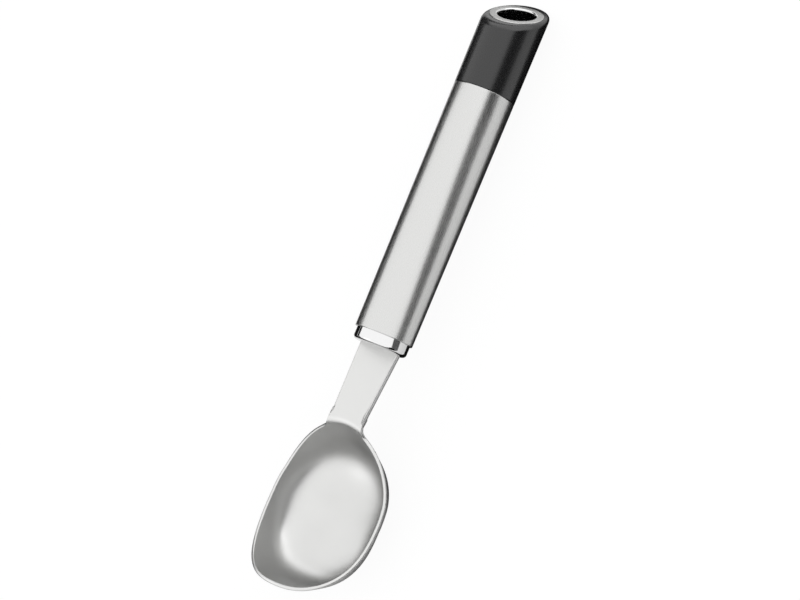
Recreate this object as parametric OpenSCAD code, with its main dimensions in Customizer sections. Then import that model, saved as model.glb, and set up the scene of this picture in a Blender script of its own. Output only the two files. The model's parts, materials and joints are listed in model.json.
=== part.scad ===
// Ice cream scoop: a one-piece steel head fixed in a tapered round handle
// that ends in a slanted plastic cap with a hanging eyelet.
//
// Tool frame: X runs along the handle from the bowl (-) to the cap (+), X = 0 is
// the collar end of the tube, and the hollow of the bowl opens towards +Z.
// Row frame: the tool lying on a table on its bowl and on the heel of its cap,
// with the origin under the middle of its length, on the table.

/* [Handle tube] */
// Length of the steel tube
tube_len = 89; // [70:1:110]
// Outside diameter at the collar end
tube_low_d = 20.6; // [18:0.1:24]
// Outside diameter at the cap end
tube_top_d = 21.7; // [18:0.1:25]
// Thickness of the tube wall
tube_wall = 0.7; // [0.5:0.1:1.2]
// Break on the tube's outer edges
tube_edge = 0.15; // [0.05:0.05:0.3]

/* [Collar] */
// Length of the collar that shows below the tube
collar_reach = 4.2; // [3:0.1:8]
// Radius of the collar's lower edge
collar_edge_r = 1.3; // [0.4:0.1:2.5]
// Length of the collar's plug inside the tube
collar_plug_len = 11; // [9:0.5:20]
// Thickness of the collar's face, which the slot passes through
collar_face_t = 6.5; // [5:0.5:9]
// Wall of the plug around its rear bore
collar_skirt_t = 2.2; // [1.9:0.1:3]

/* [End cap] */
// Length of the cap from the tube to the middle of its slanted face
cap_len = 29.4; // [29:0.2:40]
// Slant of the face, measured from square to the handle
cap_slant = 34; // [33:0.5:38]
// Rounding of the edge of the slanted face
cap_edge_r = 1.6; // [0.8:0.1:2.2]
// Length of the spigot inside the tube
cap_spigot_len = 12; // [8:0.5:20]
// Wall of the hollow spigot
cap_spigot_t = 2.4; // [1.9:0.1:3]
// Depth that the spigot's hollow goes past the end of the tube
cap_core_depth = 2; // [0:0.5:3]

/* [Hanging eyelet] */
// Diameter of the eyelet's bore
eye_bore_d = 13.2; // [11:0.1:14]
// Diameter of the eyelet's flange
eye_flange_d = 18.8; // [17:0.1:19]
// Thickness of the flange
eye_flange_t = 0.9; // [0.6:0.1:1.4]
// Height of the flange above the slanted face
eye_proud = 0.25; // [0.1:0.05:0.5]
// Wall of the sleeve below the flange
eye_sleeve_t = 0.8; // [0.5:0.1:1.1]
// Length of the sleeve below the slanted face
eye_sleeve_len = 5; // [3:0.5:6]
// Diameter of the passage from the sleeve to the underside of the cap
passage_d = 13.6; // [13:0.1:14]
// Radius of the lip where the flange turns into the bore
eye_lip_r = 0.6; // [0.3:0.1:0.8]

/* [Neck and tang] */
// Length of the flat neck from the collar to the start of the bowl
neck_len = 25.5; // [18:0.5:45]
// Width of the neck at the collar
neck_w = 15.5; // [13.5:0.1:16.5]
// Width of the neck at the bowl
neck_tip_w = 12.9; // [11:0.1:15]
// Thickness of the strip that the head is made from
strip_t = 2.5; // [2:0.1:3]
// Thickness of the neck where it meets the bowl
neck_tip_t = 2.4; // [1.6:0.1:2.5]
// Thickness that the tang loses where it is pressed to go through the collar
tang_press = 0.2; // [0.1:0.1:0.4]
// Distance of the strip's middle below the handle axis inside the handle
tang_drop = 1.2; // [0:0.1:1.5]
// Height that the neck climbs between the collar and the bowl
neck_rise = 2.5; // [0:0.1:4]
// Rounding of the sheet's edges, as a share of its thickness
edge_round = 0.34; // [0.1:0.02:0.44]
// Width of the tang inside the handle
tang_w = 11; // [8:0.5:12]
// Length of the tang, measured from the collar's outer face
tang_len = 44; // [34:1:50]

/* [Bowl] */
// Length of the bowl from the end of the neck to the tip
bowl_len = 60.6; // [50:0.2:75]
// Width across the outside of the rims
bowl_w = 43.6; // [36:0.2:52]
// Distance from the end of the neck to the widest and deepest place
bowl_widest = 30.6; // [26:0.2:36]
// Depth of the hollow below the top of the neck
bowl_depth = 24.2; // [18:0.2:28]
// Height of the tip above the end of the neck
tip_rise = 2.2; // [0:0.1:4]
// How far the side rims dip below the line from neck to tip
rim_dip = 11.2; // [4:0.1:12]
// Distance from the end of the neck to the lowest place of the rims
rim_low_at = 23.4; // [19:0.2:30]
// Thickness of the wall at the rims
rim_t = 1.2; // [0.9:0.1:1.8]
// Thickness of the wall at the bottom
bowl_t = 1.3; // [1:0.1:2]
// Steepness of the wall where it meets the rim
rim_steep = 75; // [60:1:80]
// Steepness of the wall below the neck
neck_steep = 66; // [58:1:72]
// Radius of the bend from the neck into the bowl
bend_r = 3; // [2.8:0.1:4]

/* [Handle core] */
// Length of the moulded core, from the floor of the collar's bore
core_len = 46; // [40:1:60]
// Diameter of the pin through core and tang
pin_d = 3; // [2:0.5:4]
// Distance of the pin from the inner end of the tang
pin_inset = 16; // [12:0.5:22]
// Diameter of the pegs that locate the two halves
peg_d = 3; // [2:0.5:4]
// Height of the pegs above the joint between the halves
peg_h = 3; // [2:0.5:4]
// Distance of the pin's ends below the surface of the core
pin_short = 0.4; // [0.2:0.1:1]

/* [Seals] */
// Thickness of the sealing rings
seal_d = 1.2; // [1:0.1:1.5]
// Distance of each ring from the inner end of its plug
seal_inset = 2.6; // [2.2:0.1:4]

/* [Fits] */
// Radial gap of parts pushed into the tube
push_gap = 0.05; // [0.02:0.01:0.1]
// Gap round the tang in its slot and recess
slot_gap = 0.1; // [0.05:0.05:0.2]
// Radial gap of the moulded core in the tube
core_gap = 0.15; // [0.05:0.05:0.3]
// Gap round pins and pegs
pin_gap = 0.05; // [0.02:0.01:0.1]
// Gap at each side of a sealing ring
seal_gap = 0.04; // [0.02:0.01:0.08]
// Room past the end of a peg in its socket
peg_room = 0.3; // [0.1:0.1:0.6]

/* [Hidden] */

$fn = 96;
// Overlap of outlines that are joined or cut on a shared line
eps = 0.01;
// How far a cutting shape reaches past what it cuts
cut = 1;

// Handle: radius of the outer and inner cone at a place x along the tube and cap
function outer_r(x) = (tube_low_d + (tube_top_d - tube_low_d) * x / tube_len) / 2;
function inner_r(x) = outer_r(x) - tube_wall;

// Strip: middle plane of the tang, its thickness and its inner end, and the pin through it
tang_z = -tang_drop;
tang_t = strip_t - tang_press;
tang_end = tang_len - collar_reach;
pin_x = tang_end - pin_inset;
neck_top_low = tang_z + strip_t / 2;
neck_top_high = neck_top_low + neck_rise;

// Collar and its rear bore
collar_r = inner_r(0) - push_gap;
collar_bore_r = collar_r - collar_skirt_t;
collar_floor = collar_face_t - collar_reach;

// Seal grooves
seal_groove_w = seal_d + 2 * seal_gap;
collar_seal_at = collar_plug_len - seal_inset;
cap_seal_at = tube_len - cap_spigot_len + seal_inset;
function seal_middle_r(x) = inner_r(x) - seal_gap - seal_d / 2;
function seal_floor_r(x) = inner_r(x) - 2 * seal_gap - seal_d;

// Cap: middle of the slanted face, and the eyelet's places below it
face_x = tube_len + cap_len;
eye_bore_r = eye_bore_d / 2;
eye_flange_r = eye_flange_d / 2;
eye_sleeve_r = eye_bore_r + eye_sleeve_t;
passage_r = passage_d / 2;

// Bowl: how far its back is blunter than the neck's end, how far past that end the flared
// edges start, and the length over which the neck's thickness turns into the rim's
back_blunt = 2;
flare_past = 1.5;
thin_run = 5;

// Bowl: places along the head, measured from its centre towards the tip
centre_x = -collar_reach - neck_len - bowl_widest;
tip_reach = bowl_len - bowl_widest;
shoulder_reach = bowl_widest - back_blunt;
rim_low_x = rim_low_at - bowl_widest;
floor_z = neck_top_high - bowl_depth;

// Fullness of the outline: 2 is an ellipse, more is blunter
tip_fullness = 2.45;
// How tightly the neck flares into the bowl: more is tighter
neck_flare = 11;
// Shape of the rim's dip towards the neck and towards the tip
dip_to_neck = 1.7;
dip_to_tip = 3.4;
dip_soft = 0.12;

// Directions from the bowl's centre: 0 is the tip, and the neck starts at neck_angle
neck_angle = 180 - atan2(neck_tip_w / 2, bowl_widest + flare_past);
// Meridians of the half outline, closer together where the neck flares
side_steps = 30;
flare_steps = 14;
flare_angle = 152;
// Meridians across the neck, between its two edges
neck_steps = 8;
// Steps along a meridian, from its edge to the bottom
wall_steps = 17;
// Direction from which the wall's steepness turns from the rims' to the neck's
steep_from = 115;
// Where the wall hangs below the bend, and how softly the rims' height turns into that
hang_below = 0.05;
hang_soft = 0.5;
// Share of a meridian's steps above the hanging point, and the length that gets all of it
above_share = 0.3;
above_full = 6;
// Steps round each rounded edge of the sheet
edge_steps = 3;
// Share of the way to the bottom over which the sheet thins to the bowl's own thickness
thin_share = 0.6;
// Share of a meridian that gives its direction at the rim
first_share = 0.02;
// Length of the curve's handle that makes a quarter of an ellipse
quarter = 0.5523;

// Lying on a table: the tilt that brings bowl and cap heel down together
heel_x = face_x + outer_r(face_x) * tan(cap_slant) - cap_edge_r;
heel_z = -outer_r(heel_x);
keel_z = floor_z - bowl_t;
rest_tilt = atan2(heel_z - keel_z, heel_x - centre_x);
table_z = keel_z * cos(rest_tilt) - centre_x * sin(rest_tilt);
tip_x = centre_x - tip_reach;
row_x = ((heel_x + tip_x) * cos(rest_tilt) + heel_z * sin(rest_tilt)) / 2;

// ---------------------------------------------------------------- helpers

function mix(a, b, w) = a + (b - a) * w;
function ease(w) = let (c = max(0, min(1, w))) c * c * (3 - 2 * c);
function unit(v) = v / norm(v);
function soft_positive(v, s) = (v + sqrt(v * v + s * s)) / 2;

// Everything is drawn in the tool frame and laid down on the table here
module lay_down() {
    translate([-row_x, 0, -table_z])
        rotate([0, rest_tilt, 0])
            children();
}

// Turns a shape made along Z so that it runs along the handle
module along_handle() {
    rotate([0, 90, 0])
        children();
}

// Puts a shape's Z axis along the normal of the slanted face, with z = 0 on the face
module on_slant() {
    translate([face_x, 0, 0])
        rotate([0, 90 - cap_slant, 0])
            children();
}

// ---------------------------------------------------------------- head

// Distance from the bowl's centre to the outside of its rim in direction a
function bowl_reach(a) =
    let (c = abs(cos(a)), s = abs(sin(a)), half_w = bowl_w / 2)
    cos(a) >= 0
        ? pow(pow(c / tip_reach, tip_fullness) + pow(s / half_w, tip_fullness), -1 / tip_fullness)
        : 1 / norm([c / shoulder_reach, s / half_w]);

// The same with the neck's edges, which flare into the bowl
function outline_reach(a) =
    let (bowl = bowl_reach(a), neck = neck_tip_w / 2 / max(abs(sin(a)), eps))
    cos(a) >= 0 ? bowl : pow(pow(bowl, neck_flare) + pow(neck, neck_flare), 1 / neck_flare);

neck_end = -outline_reach(neck_angle) * cos(neck_angle);
neck_end_half = outline_reach(neck_angle) * sin(neck_angle);

// Height of the rim at a distance d from the centre, counted towards the tip
function rim_line(d) =
    d < -bowl_widest
        ? mix(neck_top_high, neck_top_low, (-bowl_widest - d) / neck_len)
        : mix(neck_top_high, neck_top_high + tip_rise, (d + bowl_widest) / bowl_len);
function dip_share(d) =
    d < rim_low_x
        ? 1 - pow((rim_low_x - d) / (rim_low_x + bowl_widest), dip_to_neck)
        : 1 - pow(min(1, (d - rim_low_x) / (tip_reach - rim_low_x)), dip_to_tip);
function rim_height(d) =
    let (share = dip_share(d))
    rim_line(d) - rim_dip * (d < rim_low_x ? soft_positive(share, dip_soft) : share);

// Thickness of the sheet at an edge point, which thins from the neck to the rims
function edge_t(p) = mix(neck_tip_t, rim_t, ease((p[0] + neck_end) / thin_run));

// Directions of the meridians, once round: side, neck, other side
side_angles = concat(
    [for (i = [0 : side_steps - 1]) flare_angle * i / side_steps],
    [for (i = [0 : flare_steps]) mix(flare_angle, neck_angle, i / flare_steps)]
);
last_side = len(side_angles) - 1;
// Each edge point: plan x and y from the centre
half_edge = [for (a = side_angles) let (r = outline_reach(a)) [r * cos(a), r * sin(a)]];
neck_edge = [for (i = [1 : neck_steps - 1]) [-neck_end, neck_end_half * (1 - 2 * i / neck_steps)]];
edge = concat(
    half_edge,
    neck_edge,
    [for (i = [last_side : -1 : 1]) [half_edge[i][0], -half_edge[i][1]]]
);
meridians = len(edge);

// The neck's top as a plane that runs on over the bowl: its climb, and its height at the centre
neck_top = rim_height(-neck_end);
neck_climb = (neck_top - neck_top_low) / (neck_len + bowl_widest - neck_end);
plane_z = neck_top + neck_climb * neck_end;

// Meridian under edge point p: steepness, hanging point (reach and height), slope of the
// neck's plane, then the lengths of plane, arc and straight wall that are left above it.
// The wall hangs from the oval, an arc joins it to the plane, and the outline cuts them off.
function profile(p) =
    let (
        a = abs(atan2(p[1], p[0])),
        steep = mix(rim_steep, neck_steep, ease((a - steep_from) / (180 - steep_from))),
        oval = bowl_reach(a),
        hang = oval - rim_t * sin(steep),
        slope = -neck_climb * cos(a),
        level = -atan(slope),
        tangent = bend_r * tan((steep - level) / 2),
        cap = plane_z - slope * hang - tangent * sin(steep) - hang_below,
        rim = rim_height(oval * cos(a)),
        height = (rim + cap - norm([rim - cap, hang_soft])) / 2,
        corner = (plane_z - height + hang * tan(steep)) / (tan(steep) + slope),
        arc_from = corner + tangent * cos(level),
        arc_to = corner - tangent * cos(steep),
        sheet = edge_t(p),
        sine = (arc_from + bend_r * sin(level) - norm(p)) / (bend_r - sheet),
        first = a > steep_from ? asin(max(sin(level), min(sin(steep), sine))) : steep,
        begin = max(hang, norm(p) - sheet * sin(max(first, 0))),
        on_arc = first < steep - eps,
        lead = on_arc ? max(0, begin - arc_from) / cos(level) : 0,
        bent = bend_r * (steep - first) * PI / 180,
        straight = max(0, (on_arc ? arc_to : begin) - hang) / cos(steep)
    )
    [steep, hang, height, level, lead, bent, straight];

profiles = [for (p = edge) profile(p)];

// Distance from the centre and height, at a length back from the hanging point
function above_point(m, back) =
    let (
        steep = m[0],
        hang = m[1],
        height = m[2],
        level = m[3],
        bent = m[5],
        straight = m[6],
        up = min(back, straight),
        turn = steep - min(max(back - straight, 0), bent) / bend_r * 180 / PI,
        out = max(back - straight - bent, 0)
    )
    [
        hang + up * cos(steep) + bend_r * (sin(steep) - sin(turn)) + out * cos(level),
        height + up * sin(steep) + bend_r * (cos(turn) - cos(steep)) + out * sin(level)
    ];

function curve_point(a, b, c, d, t) =
    a * pow(1 - t, 3) + 3 * b * pow(1 - t, 2) * t + 3 * c * (1 - t) * t * t + d * pow(t, 3);

// The same below it, where w runs from 0 to 1 at the bottom: about a quarter of an ellipse
function below_point(m, w) =
    let (
        steep = m[0],
        hang = m[1],
        height = m[2],
        p0 = [hang, height],
        p1 = p0 - quarter * (height - floor_z) * [cos(steep), sin(steep)],
        p2 = [quarter * hang, floor_z]
    )
    curve_point(p0, p1, p2, [0, floor_z], w);

// Point of the inner surface on meridian j, where t runs from 0 at the edge to 1 at the bottom
function inner_point(j, t) =
    let (
        m = profiles[j],
        above = m[4] + m[5] + m[6],
        share = above_share * ease(above / above_full),
        q = t < share
            ? above_point(m, above * (1 - t / share))
            : below_point(m, (t - share) / (1 - share)),
        at = edge[j] * q[0] / norm(edge[j])
    )
    [at[0], at[1], q[1]];

// Thickness: the edge's own, turning into the bowl's
function sheet_t(j, t) = mix(edge_t(edge[j]), bowl_t, ease(t / thin_share));

function wrap(j) = (j + meridians) % meridians;
grid = [for (j = [0 : meridians - 1]) [for (k = [0 : wall_steps - 1]) inner_point(j, k / wall_steps)]];

// Normals of the inner surface, from its neighbours along and across the meridians
function grid_normal(j, k) =
    let (
        across = grid[wrap(j + 1)][k] - grid[wrap(j - 1)][k],
        along = k == 0
            ? inner_point(j, first_share) - grid[j][0]
            : (k < wall_steps - 1 ? grid[j][k + 1] : [0, 0, floor_z]) - grid[j][k - 1]
    )
    unit(cross(across, along));

function outer_point(j, k) = grid[j][k] - sheet_t(j, k / wall_steps) * grid_normal(j, k);

// Rounded edge of the sheet at meridian j, from the inner to the outer surface
function edge_points(j) =
    let (
        n = grid_normal(j, 0),
        a = grid[j][0],
        // at the neck's two corners, the side goes on straight along the neck
        before = j == last_side + neck_steps ? j : wrap(j - 1),
        after = j == last_side ? j : wrap(j + 1),
        out = unit(cross(unit(grid[after][0] - grid[before][0]), n)),
        t = edge_t(edge[j]),
        edge_r = edge_round * t
    )
    concat(
        [for (i = [0 : edge_steps])
            let (s = 90 * i / edge_steps)
            a - edge_r * n - edge_r * out + edge_r * (cos(s) * n + sin(s) * out)],
        [for (i = [0 : edge_steps])
            let (s = 90 * i / edge_steps)
            a - (t - edge_r) * n - edge_r * out + edge_r * (cos(s) * out - sin(s) * n)]
    );
edge_count = 2 * (edge_steps + 1);

// Edge meridians are the sides: neck meridians join the strip instead
function is_neck(j) = j > last_side && j < last_side + neck_steps;

// Points of the head, by blocks: inner, edge and outer of each meridian, then the poles
inner_rows = [for (j = [0 : meridians - 1]) for (k = [1 : wall_steps - 1]) grid[j][k]];
outer_rows = [for (j = [0 : meridians - 1]) for (k = [1 : wall_steps - 1]) outer_point(j, k)];
rim_rows = [for (j = [0 : meridians - 1])
    let (a = grid[j][0], below = a - [0, 0, edge_t(edge[j])])
    each is_neck(j) ? [for (i = [0 : edge_count - 1]) i < edge_count / 2 ? a : below] : edge_points(j)];
per_row = wall_steps - 1;
outer_at = meridians * per_row;
rim_at = 2 * outer_at;
pole_at = rim_at + meridians * edge_count;
neck_at = pole_at + 2;

function inner_i(j, k) = k == 0 ? rim_at + wrap(j) * edge_count : wrap(j) * per_row + k - 1;
function outer_i(j, k) =
    k == 0 ? rim_at + wrap(j) * edge_count + edge_count - 1 : outer_at + wrap(j) * per_row + k - 1;
function rim_i(j, e) = rim_at + wrap(j) * edge_count + e;

// Cross-section of the neck at the collar, in the order of the loop at the bowl end
neck_loop_i = concat(
    [for (e = [edge_count - 1 : -1 : 0]) rim_i(last_side, e)],
    [for (i = [1 : neck_steps - 1]) rim_i(last_side + i, 0)],
    [for (e = [0 : edge_count - 1]) rim_i(last_side + neck_steps, e)],
    [for (i = [neck_steps - 1 : -1 : 1]) rim_i(last_side + i, edge_count - 1)]
);
neck_loop_len = len(neck_loop_i);
head_points = concat(inner_rows, outer_rows, rim_rows, [[0, 0, floor_z], [0, 0, floor_z - bowl_t]]);
// Each loop point moves along the neck: y spreads with the width, and z follows the climb.
// The rounded edges grow with the thickness.
neck_grow = strip_t / neck_tip_t;
neck_flat = neck_end_half - edge_round * neck_tip_t;
collar_flat = neck_w / 2 - edge_round * strip_t;
neck_low_loop = [for (i = neck_loop_i)
    let (
        q = head_points[i],
        flat = min(abs(q[1]), neck_flat),
        y = flat * collar_flat / neck_flat + (abs(q[1]) - flat) * neck_grow
    )
    [centre_x + collar_reach, sign(q[1]) * y, (q[2] - neck_top) * neck_grow + neck_top_low]];

quad_faces = function (a, b, c, d) [[a, b, c], [a, c, d]];

head_faces = concat(
    // inner surface, seen from above
    [for (j = [0 : meridians - 1]) for (k = [0 : wall_steps - 2])
        each quad_faces(inner_i(j, k), inner_i(j, k + 1), inner_i(j + 1, k + 1), inner_i(j + 1, k))],
    [for (j = [0 : meridians - 1]) [inner_i(j, wall_steps - 1), pole_at, inner_i(j + 1, wall_steps - 1)]],
    // outer surface, seen from below
    [for (j = [0 : meridians - 1]) for (k = [0 : wall_steps - 2])
        each quad_faces(outer_i(j, k), outer_i(j + 1, k), outer_i(j + 1, k + 1), outer_i(j, k + 1))],
    [for (j = [0 : meridians - 1])
        [outer_i(j, wall_steps - 1), outer_i(j + 1, wall_steps - 1), pole_at + 1]],
    // rounded rim
    [for (j = [0 : meridians - 1]) if (j < last_side || j >= last_side + neck_steps)
        for (e = [0 : edge_count - 2])
            each quad_faces(rim_i(j, e), rim_i(j + 1, e), rim_i(j + 1, e + 1), rim_i(j, e + 1))],
    // flat neck and its end
    [for (i = [0 : neck_loop_len - 1])
        let (n = (i + 1) % neck_loop_len)
        each quad_faces(neck_loop_i[i], neck_loop_i[n], neck_at + n, neck_at + i)],
    [[for (i = [0 : neck_loop_len - 1]) neck_at + i]]
);

// The bowl's frame has +x towards the tip, so it is turned round to point at -X
module bowl_and_neck() {
    translate([centre_x, 0, 0])
        rotate([0, 0, 180])
            polyhedron(points = concat(head_points, neck_low_loop), faces = head_faces);
}

module tang() {
    difference() {
        translate([-collar_reach - cut, -tang_w / 2, tang_z - tang_t / 2])
            cube([tang_len + cut, tang_w, tang_t]);
        translate([pin_x, 0, tang_z - strip_t])
            cylinder(d = pin_d + 2 * pin_gap, h = 2 * strip_t);
    }
}

// One stamped piece: bowl, neck and tang
module scoop_head() {
    color("gainsboro")
        lay_down() {
            bowl_and_neck();
            tang();
        }
}

// ---------------------------------------------------------------- handle

// Slot that the tang passes through, in a piece from x0 to x1
module tang_slot(x0, x1) {
    translate([x0, -tang_w / 2 - slot_gap, tang_z - tang_t / 2 - slot_gap])
        cube([x1 - x0, tang_w + 2 * slot_gap, tang_t + 2 * slot_gap]);
}

// Plug with a rounded face, a rear bore and a slot for the tang
module collar() {
    plug_r = inner_r(collar_plug_len) - push_gap;
    color("silver")
        lay_down()
            difference() {
                along_handle()
                    rotate_extrude()
                        difference() {
                            union() {
                                translate([0, -collar_reach])
                                    square([collar_r - collar_edge_r, collar_reach]);
                                translate([0, collar_edge_r - collar_reach])
                                    square([collar_r, collar_reach - collar_edge_r]);
                                translate([collar_r - collar_edge_r, collar_edge_r - collar_reach])
                                    intersection() {
                                        circle(r = collar_edge_r);
                                        translate([0, -collar_edge_r])
                                            square(collar_edge_r);
                                    }
                                polygon([
                                    [0, -eps], [collar_r, 0],
                                    [plug_r, collar_plug_len], [0, collar_plug_len]
                                ]);
                            }
                            translate([-eps, collar_floor])
                                square([collar_bore_r + eps, collar_plug_len]);
                            translate([seal_floor_r(collar_seal_at), collar_seal_at - seal_groove_w / 2])
                                square([2 * seal_d, seal_groove_w]);
                        }
                tang_slot(-collar_reach - cut, collar_plug_len);
            }
}

// Ring of round section in its groove at a place x
module seal_ring(x) {
    translate([x, 0, 0])
        along_handle()
            rotate_extrude()
                translate([seal_middle_r(x), 0])
                    circle(d = seal_d, $fn = 32);
}

module collar_seal() {
    color("dimgray")
        lay_down()
            seal_ring(collar_seal_at);
}

module cap_seal() {
    color("dimgray")
        lay_down()
            seal_ring(cap_seal_at);
}

// Tapered tube with its outer edges broken
module handle_tube() {
    color("lightgray")
        lay_down()
            along_handle()
                rotate_extrude()
                    polygon([
                        [inner_r(0), 0],
                        [outer_r(0) - tube_edge, 0],
                        [outer_r(0), tube_edge],
                        [outer_r(tube_len), tube_len - tube_edge],
                        [outer_r(tube_len) - tube_edge, tube_len],
                        [inner_r(tube_len), tube_len]
                    ]);
}

// ---------------------------------------------------------------- handle core

core_start = collar_floor;
core_shoulder = collar_plug_len;
core_end = core_start + core_len;
peg_x = (tang_end + core_end) / 2;
peg_y = inner_r(peg_x) / 2;

// Whole core: a nose in the collar's bore and a tapered body in the tube
module core_blank() {
    nose_r = collar_bore_r - core_gap;
    along_handle()
        rotate_extrude()
            polygon([
                [0, core_start], [nose_r, core_start], [nose_r, core_shoulder],
                [inner_r(core_shoulder) - core_gap, core_shoulder],
                [inner_r(core_end) - core_gap, core_end], [0, core_end]
            ]);
}

// Half of the core: side 1 is the upper half, -1 the lower
module core_half(side) {
    block = 2 * tube_top_d;
    difference() {
        intersection() {
            core_blank();
            translate([core_start - cut, -block / 2, side > 0 ? tang_z : tang_z - block])
                cube([core_len + 2 * cut, block, block]);
        }
        tang_slot(core_start - cut, tang_end + slot_gap);
        translate([pin_x, 0, -block / 2])
            cylinder(d = pin_d + 2 * pin_gap, h = block);
    }
}

module core_upper() {
    color("dimgray")
        lay_down()
            difference() {
                core_half(1);
                for (y = [-peg_y, peg_y])
                    translate([peg_x, y, tang_z - cut])
                        cylinder(d = peg_d + 2 * pin_gap, h = cut + peg_h + peg_room);
            }
}

module core_lower() {
    color("dimgray")
        lay_down() {
            core_half(-1);
            for (y = [-peg_y, peg_y])
                translate([peg_x, y, tang_z - cut])
                    cylinder(d = peg_d, h = cut + peg_h);
        }
}

// Straight pin across core and tang, just short of the core's round surface
module tang_pin() {
    half_len = inner_r(pin_x) - core_gap - pin_short;
    color("silver")
        lay_down()
            translate([pin_x, 0, -half_len])
                cylinder(d = pin_d, h = 2 * half_len, $fn = 48);
}

// ---------------------------------------------------------------- cap and eyelet

cap_sides = 96;
cap_round_steps = 6;

// Point of the cap's skin at angle a, on the cone made smaller by inset,
// where the slanted plane lowered by depth cuts it
function skin_point(a, inset, depth) =
    let (
        slope = (tube_top_d - tube_low_d) / 2 / tube_len,
        // on the cone r = r0 + slope * x, and on the plane x = x0 - r * cos(a) * tan(slant)
        x0 = face_x - depth / cos(cap_slant),
        r = (outer_r(x0) - inset) / (1 + slope * cos(a) * tan(cap_slant))
    )
    [x0 - r * cos(a) * tan(cap_slant), r * sin(a), r * cos(a)];

cap_rings = concat(
    [[for (i = [0 : cap_sides - 1])
        let (a = 360 * i / cap_sides, r = outer_r(tube_len))
        [tube_len, r * sin(a), r * cos(a)]]],
    [for (s = [0 : cap_round_steps])
        let (turn = 90 * s / cap_round_steps)
        [for (i = [0 : cap_sides - 1])
            skin_point(360 * i / cap_sides, cap_edge_r * (1 - cos(turn)), cap_edge_r * (1 - sin(turn)))]]
);
cap_faces = concat(
    [[for (i = [cap_sides - 1 : -1 : 0]) i]],
    [for (s = [0 : cap_round_steps]) for (i = [0 : cap_sides - 1])
        let (
            n = (i + 1) % cap_sides,
            low = s * cap_sides,
            high = low + cap_sides
        )
        each quad_faces(low + i, low + n, high + n, high + i)],
    [[for (i = [0 : cap_sides - 1]) (cap_round_steps + 1) * cap_sides + i]]
);

// Cap: tapered body cut on the slant, spigot, and a slanted passage for hanging
module end_cap() {
    spigot_low = tube_len - cap_spigot_len;
    spigot_r = inner_r(spigot_low) - push_gap;
    root_r = inner_r(tube_len) - push_gap;
    color("black")
        lay_down()
            difference() {
                union() {
                    polyhedron(points = [for (ring = cap_rings) each ring], faces = cap_faces);
                    along_handle()
                        rotate_extrude()
                            difference() {
                                polygon([
                                    [0, spigot_low], [spigot_r, spigot_low],
                                    [root_r, tube_len], [root_r, tube_len + cut], [0, tube_len + cut]
                                ]);
                                translate([seal_floor_r(cap_seal_at), cap_seal_at - seal_groove_w / 2])
                                    square([2 * seal_d, seal_groove_w]);
                            }
                }
                // hollow of the spigot
                translate([spigot_low - cut, 0, 0])
                    along_handle()
                        cylinder(r = spigot_r - cap_spigot_t, h = cut + cap_spigot_len + cap_core_depth);
                // seat of the flange, seat of the sleeve, and the passage
                on_slant() {
                    translate([0, 0, eye_proud - eye_flange_t])
                        cylinder(r = eye_flange_r + push_gap, h = 2 * eye_flange_t);
                    translate([0, 0, -eye_sleeve_len])
                        cylinder(r = eye_sleeve_r + push_gap, h = eye_sleeve_len + cut);
                    translate([0, 0, -2 * tube_top_d])
                        cylinder(r = passage_r, h = 2 * tube_top_d);
                }
            }
}

// Flanged sleeve with a rounded lip
module hanging_eyelet() {
    color("silver")
        lay_down()
            on_slant()
                rotate_extrude() {
                    translate([eye_bore_r + eye_lip_r, eye_proud - eye_flange_t])
                        square([eye_flange_r - eye_bore_r - eye_lip_r, eye_flange_t]);
                    translate([eye_bore_r, -eye_sleeve_len])
                        square([eye_sleeve_t, eye_sleeve_len + eye_proud - eye_lip_r]);
                    translate([eye_bore_r + eye_lip_r, eye_proud - eye_lip_r])
                        circle(r = eye_lip_r, $fn = 48);
                }
}

scoop_head();
collar();
collar_seal();
handle_tube();
core_upper();
core_lower();
tang_pin();
cap_seal();
end_cap();
hanging_eyelet();
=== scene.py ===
"""Ice cream scoop: the finish of every piece, the studio and the camera.

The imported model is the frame. Each visible piece is a surface worked out with numpy in the
tool frame, where X runs along the handle from the bowl (-) to the cap (+), X = 0 is the
collar end of the tube and the bowl opens towards +Z, and is then laid down as the frame lies.
"""
import json
from math import atan2, cos, pi, radians, sin, tan

import bmesh
import bpy
import numpy as np
from bpy.props import FloatProperty, FloatVectorProperty, PointerProperty
from bpy.types import Operator, Panel, PropertyGroup
from mathutils import Matrix, Vector


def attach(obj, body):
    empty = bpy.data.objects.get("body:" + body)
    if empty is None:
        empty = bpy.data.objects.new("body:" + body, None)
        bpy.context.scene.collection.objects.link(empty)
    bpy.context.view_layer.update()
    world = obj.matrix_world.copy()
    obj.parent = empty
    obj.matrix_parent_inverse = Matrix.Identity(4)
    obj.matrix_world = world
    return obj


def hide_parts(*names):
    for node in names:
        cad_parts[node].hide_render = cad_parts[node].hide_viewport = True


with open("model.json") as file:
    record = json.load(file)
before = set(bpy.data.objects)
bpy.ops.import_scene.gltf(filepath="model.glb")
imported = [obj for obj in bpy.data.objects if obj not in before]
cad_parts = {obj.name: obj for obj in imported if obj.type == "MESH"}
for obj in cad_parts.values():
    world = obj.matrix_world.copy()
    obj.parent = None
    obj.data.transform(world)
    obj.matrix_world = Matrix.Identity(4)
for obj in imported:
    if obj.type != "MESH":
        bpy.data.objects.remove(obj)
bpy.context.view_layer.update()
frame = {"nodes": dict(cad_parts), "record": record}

bl_info = {
    "name": "Ice Cream Scoop",
    "version": (1, 0, 0),
    "blender": (4, 5, 0),
    "location": "View3D > Sidebar > Scoop",
    "description": "Builds the finished pieces of an ice cream scoop, its studio and its camera",
    "category": "Add Mesh",
}

MM = 0.001
# The one rigid body, and the mount that says where the slanted face and its axis lie
BODY = "root"
HOLE = next(m for m in frame["record"]["mounts"] if m["name"] == "hanging_hole")


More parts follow.
